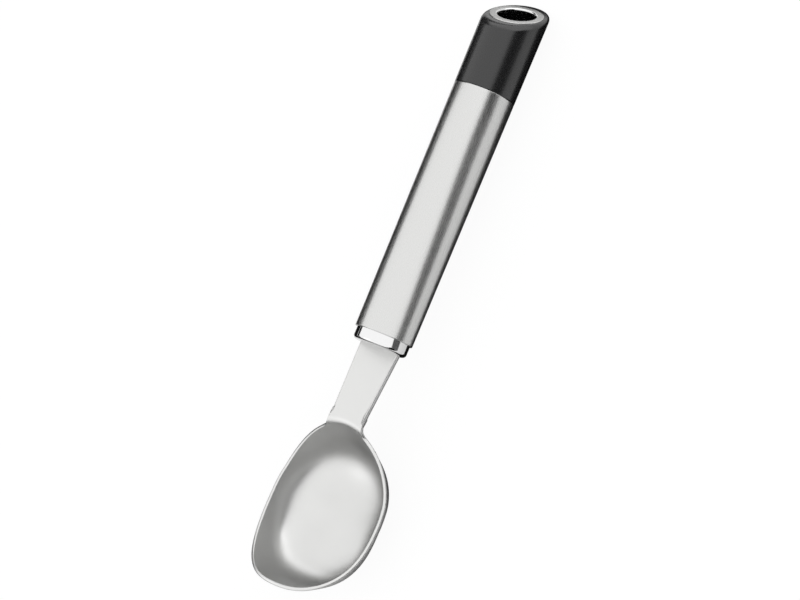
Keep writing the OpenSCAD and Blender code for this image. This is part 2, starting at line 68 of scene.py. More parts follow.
def linear(code):
    """Linear colour of an sRGB hex code such as "#c8c8c8", by the sRGB standard's own curve."""
    parts = [int(code[i:i + 2], 16) / 255 for i in (1, 3, 5)]
    return [c / 12.92 if c <= 0.04045 else ((c + 0.055) / 1.055) ** 2.4 for c in parts]


# ---------------------------------------------------------------- sizes, colours and studio

def length(name, millimetres, description):
    """A length property that is given in millimetres and held in metres."""
    return FloatProperty(
        name=name, description=description, default=millimetres * MM, min=0.0,
        unit="LENGTH", precision=5,
    )


def angle(name, degrees, description):
    """An angle property that is given in degrees and held in radians."""
    return FloatProperty(
        name=name, description=description, default=radians(degrees), subtype="ANGLE",
        unit="ROTATION",
    )


def colour(name, code, description):
    """A colour property that is given as an sRGB hex code and held as linear light."""
    return FloatVectorProperty(
        name=name, description=description, default=linear(code), subtype="COLOR",
        size=3, min=0.0, max=1.0,
    )


def share(name, value, description):
    """A number from 0 to 1."""
    return FloatProperty(
        name=name, description=description, default=value, min=0.0, max=1.0, subtype="FACTOR",
    )


class ScoopHeadSizes(PropertyGroup):
    """Sizes of the stamped head."""
    neck_len: length("Neck", 25.5, "Length of the flat neck from the collar to the bowl")
    neck_w: length("Neck width", 15.5, "Width of the neck at the collar")
    neck_tip_w: length("Neck width at bowl", 12.9, "Width of the neck at the bowl")
    strip_t: length("Strip", 2.5, "Thickness of the strip")
    neck_tip_t: length("Neck tip", 2.4, "Thickness of the neck where it meets the bowl")
    neck_rise: length("Neck rise", 2.5, "Height that the neck climbs towards the bowl")
    tang_drop: length("Tang drop", 1.2, "Distance of the tang below the handle's axis")
    tang_w: length("Tang width", 11.0, "Width of the tang inside the handle")
    tang_press: length("Tang press", 0.2, "Thickness that the tang loses when it is pressed")
    tang_len: length("Tang", 44.0, "Length of the tang from the collar's outer face")
    bowl_len: length("Bowl length", 60.6, "Length from the end of the neck to the tip")
    bowl_w: length("Bowl width", 43.6, "Width across the rims")
    bowl_widest: length("Widest at", 30.6, "Distance from the neck to the widest place")
    bowl_depth: length("Bowl depth", 24.2, "Depth of the hollow below the top of the neck")
    tip_rise: length("Tip rise", 2.2, "Height of the tip above the end of the neck")
    rim_dip: length("Rim dip", 11.2, "How far the side rims dip")
    rim_low_at: length("Rim low at", 23.4, "Distance from the neck to the rims' lowest place")
    rim_t: length("Rim", 1.2, "Thickness of the wall at the rims")
    bowl_t: length("Bottom", 1.3, "Thickness of the wall at the bottom")
    rim_steep: angle("Rim steepness", 77.0, "Steepness of the wall at the rims")
    neck_steep: angle("Neck wall steepness", 66.0, "Steepness of the wall below the neck")
    bend_r: length("Bend", 3.0, "Radius of the bend from the neck into the bowl")
    edge_round: share("Edges", 0.34, "Rounding of the edges, as a share of the thickness")


class ScoopHandleSizes(PropertyGroup):
    """Sizes of the collar, the tube, the cap and the eyelet."""
    tube_len: length("Tube", 89.0, "Length of the tube")
    tube_low_d: length("Tube low end", 20.6, "Outside diameter at the collar")
    tube_top_d: length("Tube top end", 21.7, "Outside diameter at the cap")
    tube_wall: length("Tube wall", 0.7, "Thickness of the tube")
    tube_edge: length("Tube edge", 0.3, "Break on the tube's outer edges")
    cap_break: length("Cap root edge", 0.25, "Break on the cap's edge against the tube")
    collar_reach: length("Collar", 4.2, "Length of the collar below the tube")
    collar_edge_r: length("Collar edge", 1.3, "Radius of the collar's lower edge")
    collar_plug_len: length("Collar plug", 11.0, "Length of the plug inside the tube")
    collar_face_t: length("Collar face", 6.5, "Thickness that the slot passes through")
    collar_skirt_t: length("Collar skirt", 2.2, "Wall of the plug round its bore")
    cap_len: length("Cap", 29.4, "Length from the tube to the middle of the slanted face")
    cap_slant: angle("Cap slant", 34.0, "Slant of the face, from square to the handle")
    cap_edge_r: length("Cap edge", 1.6, "Rounding of the edge of the slanted face")
    cap_spigot_len: length("Spigot", 12.0, "Length of the spigot inside the tube")
    cap_spigot_t: length("Spigot wall", 2.4, "Wall of the hollow spigot")
    cap_core_depth: length("Spigot hollow", 2.0, "Depth of the hollow past the tube's end")
    eye_bore_d: length("Eyelet bore", 13.2, "Diameter of the eyelet's bore")
    eye_flange_d: length("Eyelet flange", 18.8, "Diameter of the flange")
    eye_flange_t: length("Flange", 0.9, "Thickness of the flange")
    eye_proud: length("Flange height", 0.25, "Height of the flange above the slanted face")
    eye_sleeve_t: length("Sleeve", 0.8, "Wall of the sleeve")
    eye_sleeve_len: length("Sleeve length", 5.0, "Length of the sleeve below the face")
    eye_lip_r: length("Lip", 0.6, "Radius of the lip where the flange meets the bore")
    passage_d: length("Passage", 13.6, "Diameter of the passage to the cap's underside")
    push_gap: length("Push gap", 0.05, "Radial gap of parts pushed into the tube")
    slot_gap: length("Slot gap", 0.1, "Gap round the tang in its slot")


class ScoopFinish(PropertyGroup):
    """Colours and gloss of the materials."""
    head_steel: colour("Head steel", "#bdbdbc", "Colour of the tumbled steel")
    grazing: colour("Grazing tint", "#c4c4c4", "What grazing light keeps on the tumbled steel")
    tube_steel: colour("Tube steel", "#b8b8b7", "Colour of the drawn steel")
    polished: colour("Polished steel", "#c8c8c8", "Colour of the polished steel")
    plastic: colour("Cap plastic", "#0c0c0d", "Colour of the cap")
    rubber: colour("Rubber", "#1b1b1b", "Colour of the sealing rings")
    core: colour("Core plastic", "#3a3a3a", "Colour of the moulded core")
    head_rough: share("Head roughness", 0.38, "Roughness of the tumbled head")
    tube_rough: share("Tube roughness", 0.28, "Roughness of the tube")
    polished_rough: share("Polish", 0.08, "Roughness of the polished steel")
    plastic_rough: share("Plastic roughness", 0.27, "Roughness of the cap")
    core_rough: share("Core roughness", 0.5, "Roughness of the moulded core")
    rubber_rough: share("Rubber roughness", 0.7, "Roughness of the sealing rings")


class ScoopStage(PropertyGroup):
    """Camera, lamps, room, paper and cards."""
    target: FloatVectorProperty(
        name="Target", description="Point that the camera looks at", subtype="XYZ",
        unit="LENGTH", default=(-2.914 * MM, 2.96 * MM, 12.0 * MM), precision=5,
    )
    distance: length("Distance", 846.0, "Distance of the camera from its target")
    azimuth: angle("Azimuth", -93.847, "Direction of the camera round the object, from +X")
    elevation: angle("Elevation", 60.936, "Height of the camera above the horizon")
    roll: angle("Roll", -65.921, "Turn of the camera about its own axis")
    lens: FloatProperty(
        name="Lens", description="Focal length", default=112.5, min=1.0, unit="CAMERA",
    )
    softbox: FloatProperty(
        name="Softbox", description="Radiance of the softbox", default=1.55, min=0.0,
    )
    softbox_up: length("Softbox height", 600.0, "Height of the softbox above the paper")
    reach_right: angle("Reach right", 76.0, "Angle from overhead to the edge on the camera's side")
    reach_left: angle("Reach left", 77.0, "Angle from overhead to the edge on the far side")
    reach_tip: angle("Reach past the tip", 78.0, "Angle from overhead to the edge past the tip")
    reach_cap: angle("Reach past the cap", 54.0, "Angle from overhead to the edge past the cap")
    end_light: FloatProperty(
        name="End softbox", description="Radiance of the softbox beyond the cap", default=2.0,
        min=0.0,
    )
    end_away: length("End softbox distance", 900.0, "Distance of the softbox beyond the cap")
    end_down: angle("End softbox angle", 71.0, "Angle from overhead to the softbox")
    end_round: angle("End softbox direction", -12.0, "Direction of the softbox, from +X")
    end_width: length("End softbox width", 2400.0, "Width of the softbox beyond the cap")
    end_depth: length("End softbox height", 640.0, "Height of the softbox beyond the cap")
    tip_light: FloatProperty(
        name="Tip softbox", description="Radiance of the softbox beyond the bowl's tip",
        default=0.5, min=0.0,
    )
    tip_away: length("Tip softbox distance", 900.0, "Distance of the softbox beyond the tip")
    tip_down: angle("Tip softbox angle", 48.0, "Angle from overhead to the softbox")
    tip_round: angle("Tip softbox direction", 136.0, "Direction of the softbox, from +X")
    tip_width: length("Tip softbox width", 380.0, "Width of the softbox beyond the tip")
    tip_depth: length("Tip softbox height", 420.0, "Height of the softbox beyond the tip")
    room: colour("Room", "#2e2e2e", "Light of the room round the softbox")
    paper: colour("Paper", "#dcdcdc", "Colour of the paper")
    paper_glow: share("Paper glow", 0.93, "Share of the paper's white that shadows leave alone")
    grey: colour("Grey card", "#686868", "Colour of the card beside the handle")
    black: colour("Black card", "#161616", "Colour of the other cards")
    card_away: length("Hung cards", 65.0, "Distance of the hung cards from the middle line")
    table_card_from: length("Lying card from", 38.0, "Distance of its near edge from the middle line")
    table_card_to: length("Lying card to", 600.0, "Distance of its far edges from the middle")


# ---------------------------------------------------------------- frames

def tilt_of(handle):
    """Tilt of the tool on the table: the slant of its cap less that of the hole's axis."""
    ax, _, az = HOLE["axis"]
    return handle.cap_slant - atan2(az, ax)


def laid_down(points, handle):
    """Row-frame places of tool-frame points.

    The points turn about Y by the tilt. They then shift by what takes the middle of the
    slanted face to where the frame's hanging hole puts it: half the sleeve's straight wall
    above the hole's own point, along its axis.
    """
    tilt = tilt_of(handle)
    turn = np.array([[cos(tilt), 0, sin(tilt)], [0, 1, 0], [-sin(tilt), 0, cos(tilt)]])
    hole_depth = (handle.eye_sleeve_len - handle.eye_proud + handle.eye_lip_r) / 2
    face_row = np.array(HOLE["pos_m"]) + hole_depth * np.array(HOLE["axis"])
    face_tool = np.array([handle.tube_len + handle.cap_len, 0, 0])
    return points @ turn.T + (face_row - turn @ face_tool)


def ease(w):
    """Smooth step from 0 to 1: w squared times (3 - 2w), with w held between 0 and 1."""
    w = np.clip(w, 0.0, 1.0)
    return w * w * (3 - 2 * w)


def mix(a, b, w):
    """The value w of the way from a to b."""
    return a + (b - a) * w


def unit(v):
    """Vectors scaled to length one."""
    return v / np.linalg.norm(v, axis=-1, keepdims=True)


def outer_r(handle, x):
    """Radius of the handle's cone at a place x along it."""
    grow = (handle.tube_top_d - handle.tube_low_d) / handle.tube_len
    return (handle.tube_low_d + grow * x) / 2


def inner_r(handle, x):
    """Radius of the tube's bore at a place x along it."""
    return outer_r(handle, x) - handle.tube_wall


# ---------------------------------------------------------------- meshes

# Faces that meet at more than this angle have a sharp edge between them
SHARP = radians(38)
# Points of one piece that lie closer than this are one point
SAME_POINT = 0.002 * MM


def in_order(ring, turn):
    """A ring's point numbers and angles, sorted by angle from 0 to a whole turn."""
    turn = turn % (2 * pi)
    order = np.argsort(turn)
    return ring[order], turn[order]


class Shape:
    """Points and faces of a piece, put together from grids of points."""

    def __init__(self):
        """Starts with no points and no faces."""
        self.blocks, self.faces, self.total = [], [], 0

    def add(self, grid):
        """Takes in a grid of points and gives their numbers, in the grid's rows and columns."""
        numbers = self.total + np.arange(grid[..., 0].size).reshape(grid.shape[:-1])
        self.blocks.append(grid.reshape(-1, 3))
        self.total += numbers.size
        return numbers

    def points(self):
        """All the points so far."""
        return np.concatenate(self.blocks)

    def quads(self, numbers, close_rows=False, close_columns=True, where=None):
        """Joins a grid of point numbers by quads, all or those where a mask says so.

        Quad (i, j) has the corners (i, j), (i+1, j), (i+1, j+1) and (i, j+1). In a closed
        direction the last line is joined to the first.
        """
        if close_rows:
            numbers = np.concatenate([numbers, numbers[:1]])
        if close_columns:
            numbers = np.concatenate([numbers, numbers[:, :1]], axis=1)
        corners = np.stack([
            numbers[:-1, :-1], numbers[1:, :-1], numbers[1:, 1:], numbers[:-1, 1:]], -1)
        self.faces.append(corners.reshape(-1, 4) if where is None else corners[where])

    def fan(self, ring, pole, flip=False):
        """Joins a closed ring of point numbers to one pole by triangles, or by the same
        turned over."""
        after = np.roll(ring, -1)
        pair = (after, ring) if flip else (ring, after)
        self.faces.append(np.stack([*pair, np.full_like(ring, pole)], -1))

    def annulus(self, outer, outer_turn, inner, inner_turn):
        """Joins two closed rings of point numbers that lie round the same axis by triangles.

        Both are put in order of their angles. Each edge joins the last point of the other
        ring that comes no later than the edge's end, as two merged lists do.
        """
        a, a_turn = in_order(outer, outer_turn)
        b, b_turn = in_order(inner, inner_turn)
        a_end, b_end = np.roll(a_turn, -1), np.roll(b_turn, -1)
        a_end[-1], b_end[-1] = a_end[-1] + 2 * pi, b_end[-1] + 2 * pi
        b_long = np.concatenate([b_turn, b_turn + 2 * pi])
        a_long = np.concatenate([a_turn, a_turn + 2 * pi])
        b_last = (np.searchsorted(b_long, a_end, "left") - 1) % len(b)
        a_last = (np.searchsorted(a_long, b_end, "right") - 1) % len(a)
        self.faces.append(np.stack([a, np.roll(a, -1), b[b_last]], -1))
        self.faces.append(np.stack([np.roll(b, -1), b, a[a_last]], -1))


def closed_shape(grid):
    """Shape of a grid of points that joins up both ways."""
    shape = Shape()
    shape.quads(shape.add(grid), close_rows=True)
    return shape


def piece(name, shape, handle, node, materials, face_slots=None):
    """Makes a mesh object of a shape in the tool frame, laid down in its place.

    It rides on the body, stands for its CAD node and takes the materials it is given.
    Faces are smooth, with sharp edges where they meet at more than SHARP. Where it has
    more than one material, face_slots gives each face's. Faces that need mending are an error.
    """
    mesh = bpy.data.meshes.new(name)
    rows = [face for block in shape.faces for face in block.tolist()]
    mesh.from_pydata(laid_down(shape.points(), handle).tolist(), [], rows)
    mesh.polygons.foreach_set("use_smooth", np.ones(len(rows), bool))
    for material in materials:
        mesh.materials.append(material)
    if face_slots is not None:
        mesh.polygons.foreach_set("material_index", np.asarray(face_slots, np.int32))
    if mesh.validate():
        raise RuntimeError(f"the faces of {name} had to be mended")
    mesh.set_sharp_from_angle(angle=SHARP)
    mesh.update()
    thing = bpy.data.objects.new(name, mesh)
    bpy.context.scene.collection.objects.link(thing)
    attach(thing, BODY)
    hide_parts(node)
    return thing


def weld(thing):
    """Merges the points that two grids of a piece share, turns its faces outwards, and makes
    sure that it is closed."""
    work = bmesh.new()
    work.from_mesh(thing.data)
    bmesh.ops.remove_doubles(work, verts=work.verts, dist=SAME_POINT)
    bmesh.ops.recalc_face_normals(work, faces=work.faces)
    work.to_mesh(thing.data)
    work.free()
    thing.data.set_sharp_from_angle(angle=SHARP)
    thing.data.update()
    require_closed(thing)


def require_closed(thing):
    """Stops with an error unless every edge of the piece has two faces."""
    edge_of_corner = np.empty(len(thing.data.loops), np.int32)
    thing.data.loops.foreach_get("edge_index", edge_of_corner)
    if np.any(np.bincount(edge_of_corner) != 2):
        raise RuntimeError(f"{thing.name} is not closed")


def arc(centre, radius, start, end, steps):
    """Points of an arc in a profile's plane, from angle start to angle end in degrees."""
    a = np.radians(np.linspace(start, end, steps + 1))
    return np.asarray(centre) + radius * np.stack([np.cos(a), np.sin(a)], -1)


def revolved(profile, sides):
    """Grid of a closed profile of (radius, height) carried once round the Z axis.

    Point (i, j) is profile point i at angle j: (r cos, r sin, height).
    """
    a = np.linspace(0, 2 * pi, sides, endpoint=False)
    r, h = profile[:, :1], profile[:, 1:]
    height = np.broadcast_to(h, (len(profile), sides))
    return np.stack([r * np.cos(a), r * np.sin(a), height], -1)


def along_handle(grid):
    """Turns a shape made along Z so that it runs along X: (x, y, z) goes to (z, y, -x)."""
    return np.stack([grid[..., 2], grid[..., 1], -grid[..., 0]], -1)


def on_slant(grid, handle):
    """Puts a shape's Z axis along the slanted face's normal, with height 0 on the face.

    (x, y, z) goes to the face's middle plus x down the slant, y to the side and z out of it.
    """
    s = handle.cap_slant
    across = np.array([sin(s), 0, -cos(s)])
    normal = np.array([cos(s), 0, sin(s)])
    middle = np.array([handle.tube_len + handle.cap_len, 0, 0])
    side = np.array([0, 1, 0])
    return middle + grid[..., :1] * across + grid[..., 1:2] * side + grid[..., 2:] * normal


# ---------------------------------------------------------------- head

# Below its hanging line the bowl's section is a curve of four points. The second lies down the
# wall by UPRIGHT of the drop, and the third on the floor's line at FLAT of the way out to the
# wall. NOSE is towards the tip, BACK towards the neck and ACROSS towards the sides.
UPRIGHT = 0.68
UPRIGHT_NOSE = 0.6
FLAT_ACROSS = 0.66
FLAT_BACK = 0.88
FLAT_NOSE = 0.84
# Weight of the curve's two middle points at the nose, where a plain cubic's is 1
PULL_NOSE = 1.9
# Slope of the floor towards the tip, and how much higher it lies than bowl_depth puts it
FLOOR_CLIMB = 0.15
FLOOR_LIFT = 1.8 * MM
# The bowl's plan: power of the superellipse of its tip's half, power that blends its back into
# the neck's edges, what its back's ellipse is short of the neck, and what the flare goes past it
TIP_FULLNESS = 2.45
NECK_FLARE = 11
BACK_BLUNT = 2.0 * MM
FLARE_PAST = 1.5 * MM
# The rims' dip: powers by which it fades to the neck and to the tip, and how softly it ends at
# the neck
DIP_TO_NECK = 1.7
DIP_TO_TIP = 3.4
DIP_SOFT = 0.12
# The sheet's edge thins from neck to rim over THIN_RUN, and the sheet takes on the bottom's
# thickness over THIN_SHARE of the way down
THIN_RUN = 5 * MM
THIN_SHARE = 0.6
# Direction, measured from the tip, past which the wall's slope eases to the one below the neck,
# and the neck's plane runs on over it
STEEP_FROM = radians(115)
# Share of the wall's steps that lie above the hanging line once that path is ABOVE_FULL long
ABOVE_SHARE = 0.3
ABOVE_FULL = 6 * MM
# How far below the bend's arc the wall hangs at least, and the softness of that limit
HANG_BELOW = 0.05 * MM
HANG_SOFT = 0.5 * MM

# Steps of the head's grid: along each side and its flare, which starts at FLARE_ANGLE from the
# tip, across the neck, down the wall, round each half of the sheet's edge, and along the neck
SIDE_STEPS = 120
FLARE_ANGLE = radians(152)
FLARE_STEPS = 56
NECK_STEPS = 32
WALL_STEPS = 72
EDGE_STEPS = 6
NECK_RINGS = 12
# Share of the wall's first step over which its direction at the edge is taken
FIRST_STEP = 0.1
# Least sine and share, which keep divisions finite, and least turn that counts as an arc
LEAST_SINE = 1e-3
LEAST_SHARE = 1e-9
LEAST_TURN = 1e-6


class Head:
    """The formulas of the head, in a frame at the bowl's centre with +x towards the tip."""

    def __init__(self, sizes, handle):
        """Works out the heights and lengths that the formulas share."""
        s = self.s = sizes
        self.tang_z = -s.tang_drop
        self.low_top = self.tang_z + s.strip_t / 2
        self.high_top = self.low_top + s.neck_rise
        self.floor = self.high_top - s.bowl_depth + FLOOR_LIFT
        self.tip_reach = s.bowl_len - s.bowl_widest
        self.centre_x = -handle.collar_reach - s.neck_len - s.bowl_widest
        self.neck_angle = pi - atan2(s.neck_tip_w / 2, s.bowl_widest + FLARE_PAST)
        reach = self.reach(np.array([self.neck_angle]))[0]
        self.neck_end = -reach * cos(self.neck_angle)
        self.neck_half = reach * sin(self.neck_angle)
        self.neck_top = self.rim_height(np.array([-self.neck_end]))[0]

    def reach(self, a):
        """Distance from the centre to the outline in direction a.

        The tip's half is a superellipse and the back an ellipse. The back is blended with
        the neck's straight edges by the root of a sum of high powers, which is a tight flare.
        """
        s = self.s
        oval = self.oval(a)
        neck = s.neck_tip_w / 2 / np.maximum(np.abs(np.sin(a)), LEAST_SINE)
        flared = (oval ** NECK_FLARE + neck ** NECK_FLARE) ** (1 / NECK_FLARE)
        return np.where(np.cos(a) >= 0, oval, flared)

    def oval(self, a):
        """Distance from the centre to the bowl's own oval, without the neck.

        It is one over the root of the sum of powers of cosine and sine, each over its half
        size. The power is TIP_FULLNESS in the tip's half and 2, a plain ellipse, in the back.
        """
        s = self.s
        c, n, half = np.abs(np.cos(a)), np.abs(np.sin(a)), s.bowl_w / 2
        powers = (c / self.tip_reach) ** TIP_FULLNESS + (n / half) ** TIP_FULLNESS
        tip = powers ** (-1 / TIP_FULLNESS)
        back = 1 / np.hypot(c / (s.bowl_widest - BACK_BLUNT), n / half)
        return np.where(np.cos(a) >= 0, tip, back)

    def rim_height(self, d):
        """Height of the rim at a distance d from the centre towards the tip.

        A straight line from the neck to the tip, less a dip that is whole at the rims'
        lowest place and fades as 1 minus a power of the distance from it.
        """
        s = self.s
        low = s.rim_low_at - s.bowl_widest
        line = np.where(
            d < -s.bowl_widest,
            mix(self.high_top, self.low_top, (-s.bowl_widest - d) / s.neck_len),
            mix(self.high_top, self.high_top + s.tip_rise, (d + s.bowl_widest) / s.bowl_len),
        )
        back = 1 - (np.maximum(0, low - d) / (low + s.bowl_widest)) ** DIP_TO_NECK
        back = (back + np.sqrt(back * back + DIP_SOFT ** 2)) / 2
        front = 1 - np.clip((d - low) / (self.tip_reach - low), 0, 1) ** DIP_TO_TIP
        return line - s.rim_dip * np.where(d < low, back, front)

    def profile(self, edge):
        """The deck, the arc and the hanging point of the wall under each edge point.

        The wall hangs from the bowl's own oval at its slope. The neck's plane runs on over
        it, and an arc joins the two. The outline cuts the sheet off: over the plane at the
        neck, part of the way round the arc on the flare, and at the oval on the rims.
        Returns the wall's slope, the hanging point's distance and height, the deck's slope,
        the slope at the cut, and the lengths of deck, arc and straight wall.
        """
        s = self.s
        radius = np.linalg.norm(edge, axis=1)
        toward = np.abs(np.arctan2(edge[:, 1], edge[:, 0]))
        back = ease((toward - STEEP_FROM) / (pi - STEEP_FROM))
        steep = mix(s.rim_steep, s.neck_steep, back)
        oval = self.oval(toward)
        hang = oval - s.rim_t * np.sin(steep)
        # the neck's plane: its height over the centre and its slope in the point's direction
        climb = (self.neck_top - self.low_top) / (s.neck_len + s.bowl_widest - self.neck_end)
        over = self.neck_top + climb * self.neck_end
        slope = -climb * np.cos(toward)
        level = -np.arctan(slope)
        # the wall hangs at the rim's height, or lower where the arc under the plane needs it
        tangent = s.bend_r * np.tan((steep - level) / 2)
        limit = over - slope * hang - tangent * np.sin(steep) - HANG_BELOW
        rim = self.rim_height(oval * np.cos(toward))
        height = (rim + limit - np.hypot(rim - limit, HANG_SOFT)) / 2
        # plane and wall cross at the corner, and the arc touches both a tangent's length away
        corner = (over - height + hang * np.tan(steep)) / (np.tan(steep) + slope)
        arc_from = corner + tangent * np.cos(level)
        arc_to = corner - tangent * np.cos(steep)
        # the outline cuts the sheet off where its underside crosses it, at the slope first
        thick = self.edge_thickness(edge)
        sine = (arc_from + s.bend_r * np.sin(level) - radius) / (s.bend_r - thick)
        has_deck = toward > STEEP_FROM
        first = np.where(has_deck, np.arcsin(np.clip(sine, np.sin(level), np.sin(steep))), steep)
        begin = np.maximum(radius - thick * np.sin(np.maximum(first, 0)), hang)
        on_arc = first < steep - LEAST_TURN
        lead = np.where(on_arc, np.maximum(0, begin - arc_from), 0) / np.cos(level)
        bent = s.bend_r * (steep - first)
        straight = np.where(on_arc, arc_to, begin) - hang
        straight = np.maximum(0, straight) / np.cos(steep)
        return steep, hang, height, level, first, lead, bent, straight

    def wall(self, edge, t):
        """Inner surface under the edge points, at shares t of the way to the bottom.

        Above the hanging point the path is measured back from it: up the straight wall,
        round the arc and out over the deck. Below it is a rational cubic curve that leaves
        along the wall and arrives at the centre along the floor, which climbs to the tip.
        """
        s = self.s
        steep, hang, height, level, first, lead, bent, straight = self.profile(edge)
        along = unit(edge)
        forward = along[:, 0]
        back, nose = ease(-forward), ease(forward)
        # above the hanging point: the length of path that is still to go
        above = lead + bent + straight
        share_above = ABOVE_SHARE * ease(above / ABOVE_FULL)
        t = np.asarray(t)[:, None]
        to_go = above * (1 - np.clip(t / np.maximum(share_above, LEAST_SHARE), 0, 1))
        up = np.minimum(to_go, straight)
        turn = steep - np.clip(to_go - straight, 0, bent) / s.bend_r
        out = np.maximum(to_go - straight - bent, 0)
        upper = np.stack([
            hang + up * np.cos(steep) + s.bend_r * (np.sin(steep) - np.sin(turn))
            + out * np.cos(level),
            height + up * np.sin(steep) + s.bend_r * (np.cos(turn) - np.cos(steep))
            + out * np.sin(level)], -1)
        # below it: the curve's four points, its weights and the curve
        p0 = np.stack([hang, height], -1)
        drop = p0[:, 1:] - self.floor
        flat = mix(mix(FLAT_ACROSS, FLAT_BACK, back), FLAT_NOSE, nose)
        upright = mix(UPRIGHT, UPRIGHT_NOSE, nose)[:, None]
        p1 = p0 + upright * drop * np.stack([-np.cos(steep), -np.sin(steep)], -1)
        p2 = np.stack([flat * hang, self.floor + FLOOR_CLIMB * forward * flat * hang], -1)
        p3 = np.stack([np.zeros_like(hang), np.full_like(hang, self.floor)], -1)
        w = np.clip((t - share_above) / (1 - share_above), 0, 1)[..., None]
        pull = 3 * mix(1.0, PULL_NOSE, nose)[:, None]
        w0, w3 = (1 - w) ** 3, w ** 3
        w1, w2 = pull * (1 - w) ** 2 * w, pull * (1 - w) * w ** 2
        lower = (p0 * w0 + p1 * w1 + p2 * w2 + p3 * w3) / (w0 + w1 + w2 + w3)
        q = np.where((t < share_above)[..., None], upper, lower)
        return np.concatenate([along * q[..., :1], q[..., 1:]], -1)

    def edge_thickness(self, edge):
        """Thickness at the edge points, which thins from the neck to the rims."""
        return mix(self.s.neck_tip_t, self.s.rim_t, ease((edge[:, 0] + self.neck_end) / THIN_RUN))

    def thickness(self, edge, t):
        """The strip's own at the neck, the rim's at the rims, and the bottom's further in."""
        share_in = ease(np.asarray(t)[:, None] / THIN_SHARE)
        return mix(self.edge_thickness(edge), self.s.bowl_t, share_in)

    def edge(self):
        """Edge points once round in plan: one side, across the neck, the other side."""
        side = np.linspace(0, FLARE_ANGLE, SIDE_STEPS, endpoint=False)
        flare = np.linspace(FLARE_ANGLE, self.neck_angle, FLARE_STEPS + 1)
        a = np.concatenate([side, flare])
        half = self.reach(a)[:, None] * np.stack([np.cos(a), np.sin(a)], -1)
        y = self.neck_half * np.linspace(1, -1, NECK_STEPS + 1)[1:-1]
        neck = np.stack([np.full_like(y, -self.neck_end), y], -1)
        other = half[:0:-1] * [1, -1]
        return np.concatenate([half, neck, other]), len(half) - 1


def sheet_edge(head, brink, up, sheet, run, left, right):
    """Rings over the sheet's edge, from its inner surface to its outer one.

    The inner surface ends at the points brink, with the normals up. The sheet's thickness
    there is sheet, and run points along the edge. Quarter arcs lie about two centres inside
    the sheet, in the plane of the normal and the way out across the edge. Between the columns
    left and right, where the sheet goes on as the neck, the rings are its upper and lower line.
    """
    run = run.copy()
    run[left] = brink[left] - brink[left - 1]
    run[right] = brink[right + 1] - brink[right]
    out = unit(np.cross(unit(run), up))
    edge_r = head.s.edge_round * sheet
    turn = np.linspace(0, pi / 2, EDGE_STEPS + 1)[:, None, None]
    upper = brink - edge_r * (up + out) + edge_r * (np.cos(turn) * up + np.sin(turn) * out)
    lower = (brink - (sheet - edge_r) * up - edge_r * out
             + edge_r * (np.cos(turn) * out - np.sin(turn) * up))
    neck = np.arange(left + 1, right)
    upper[:, neck] = brink[neck]
    lower[:, neck] = brink[neck] - sheet[neck] * [0, 0, 1]
    return np.concatenate([upper, lower])


def neck_and_tang(head, section):
    """Rings from the neck's section at the bowl to the collar, then the tang's two.

    The neck is ruled between its ends. Its flat middle widens to the collar's, and its
    thickness and its rounded sides grow to the strip's. The tang's section is the one at the
    collar, narrower and thinner about the strip's middle.
    """
    s = head.s
    width = np.abs(section[:, 1])
    grow = s.strip_t / s.neck_tip_t
    neck_flat = head.neck_half - s.edge_round * s.neck_tip_t
    collar_flat = s.neck_w / 2 - s.edge_round * s.strip_t
    flat = np.minimum(width, neck_flat)
    low = section.copy()
    low[:, 0] = -(s.neck_len + s.bowl_widest)
    low[:, 1] = np.sign(section[:, 1]) * (flat * collar_flat / neck_flat + (width - flat) * grow)
    low[:, 2] = head.low_top + (section[:, 2] - head.neck_top) * grow
    tang = low.copy()
    tang[:, 1] *= s.tang_w / s.neck_w
    tang[:, 2] = head.tang_z + (low[:, 2] - head.tang_z) * (1 - s.tang_press / s.strip_t)
    tang_end = tang - [s.tang_len, 0, 0]
    w = np.linspace(0, 1, NECK_RINGS + 1)[1:, None, None]
    return np.concatenate([mix(section, low, w), tang[None], tang_end[None]])


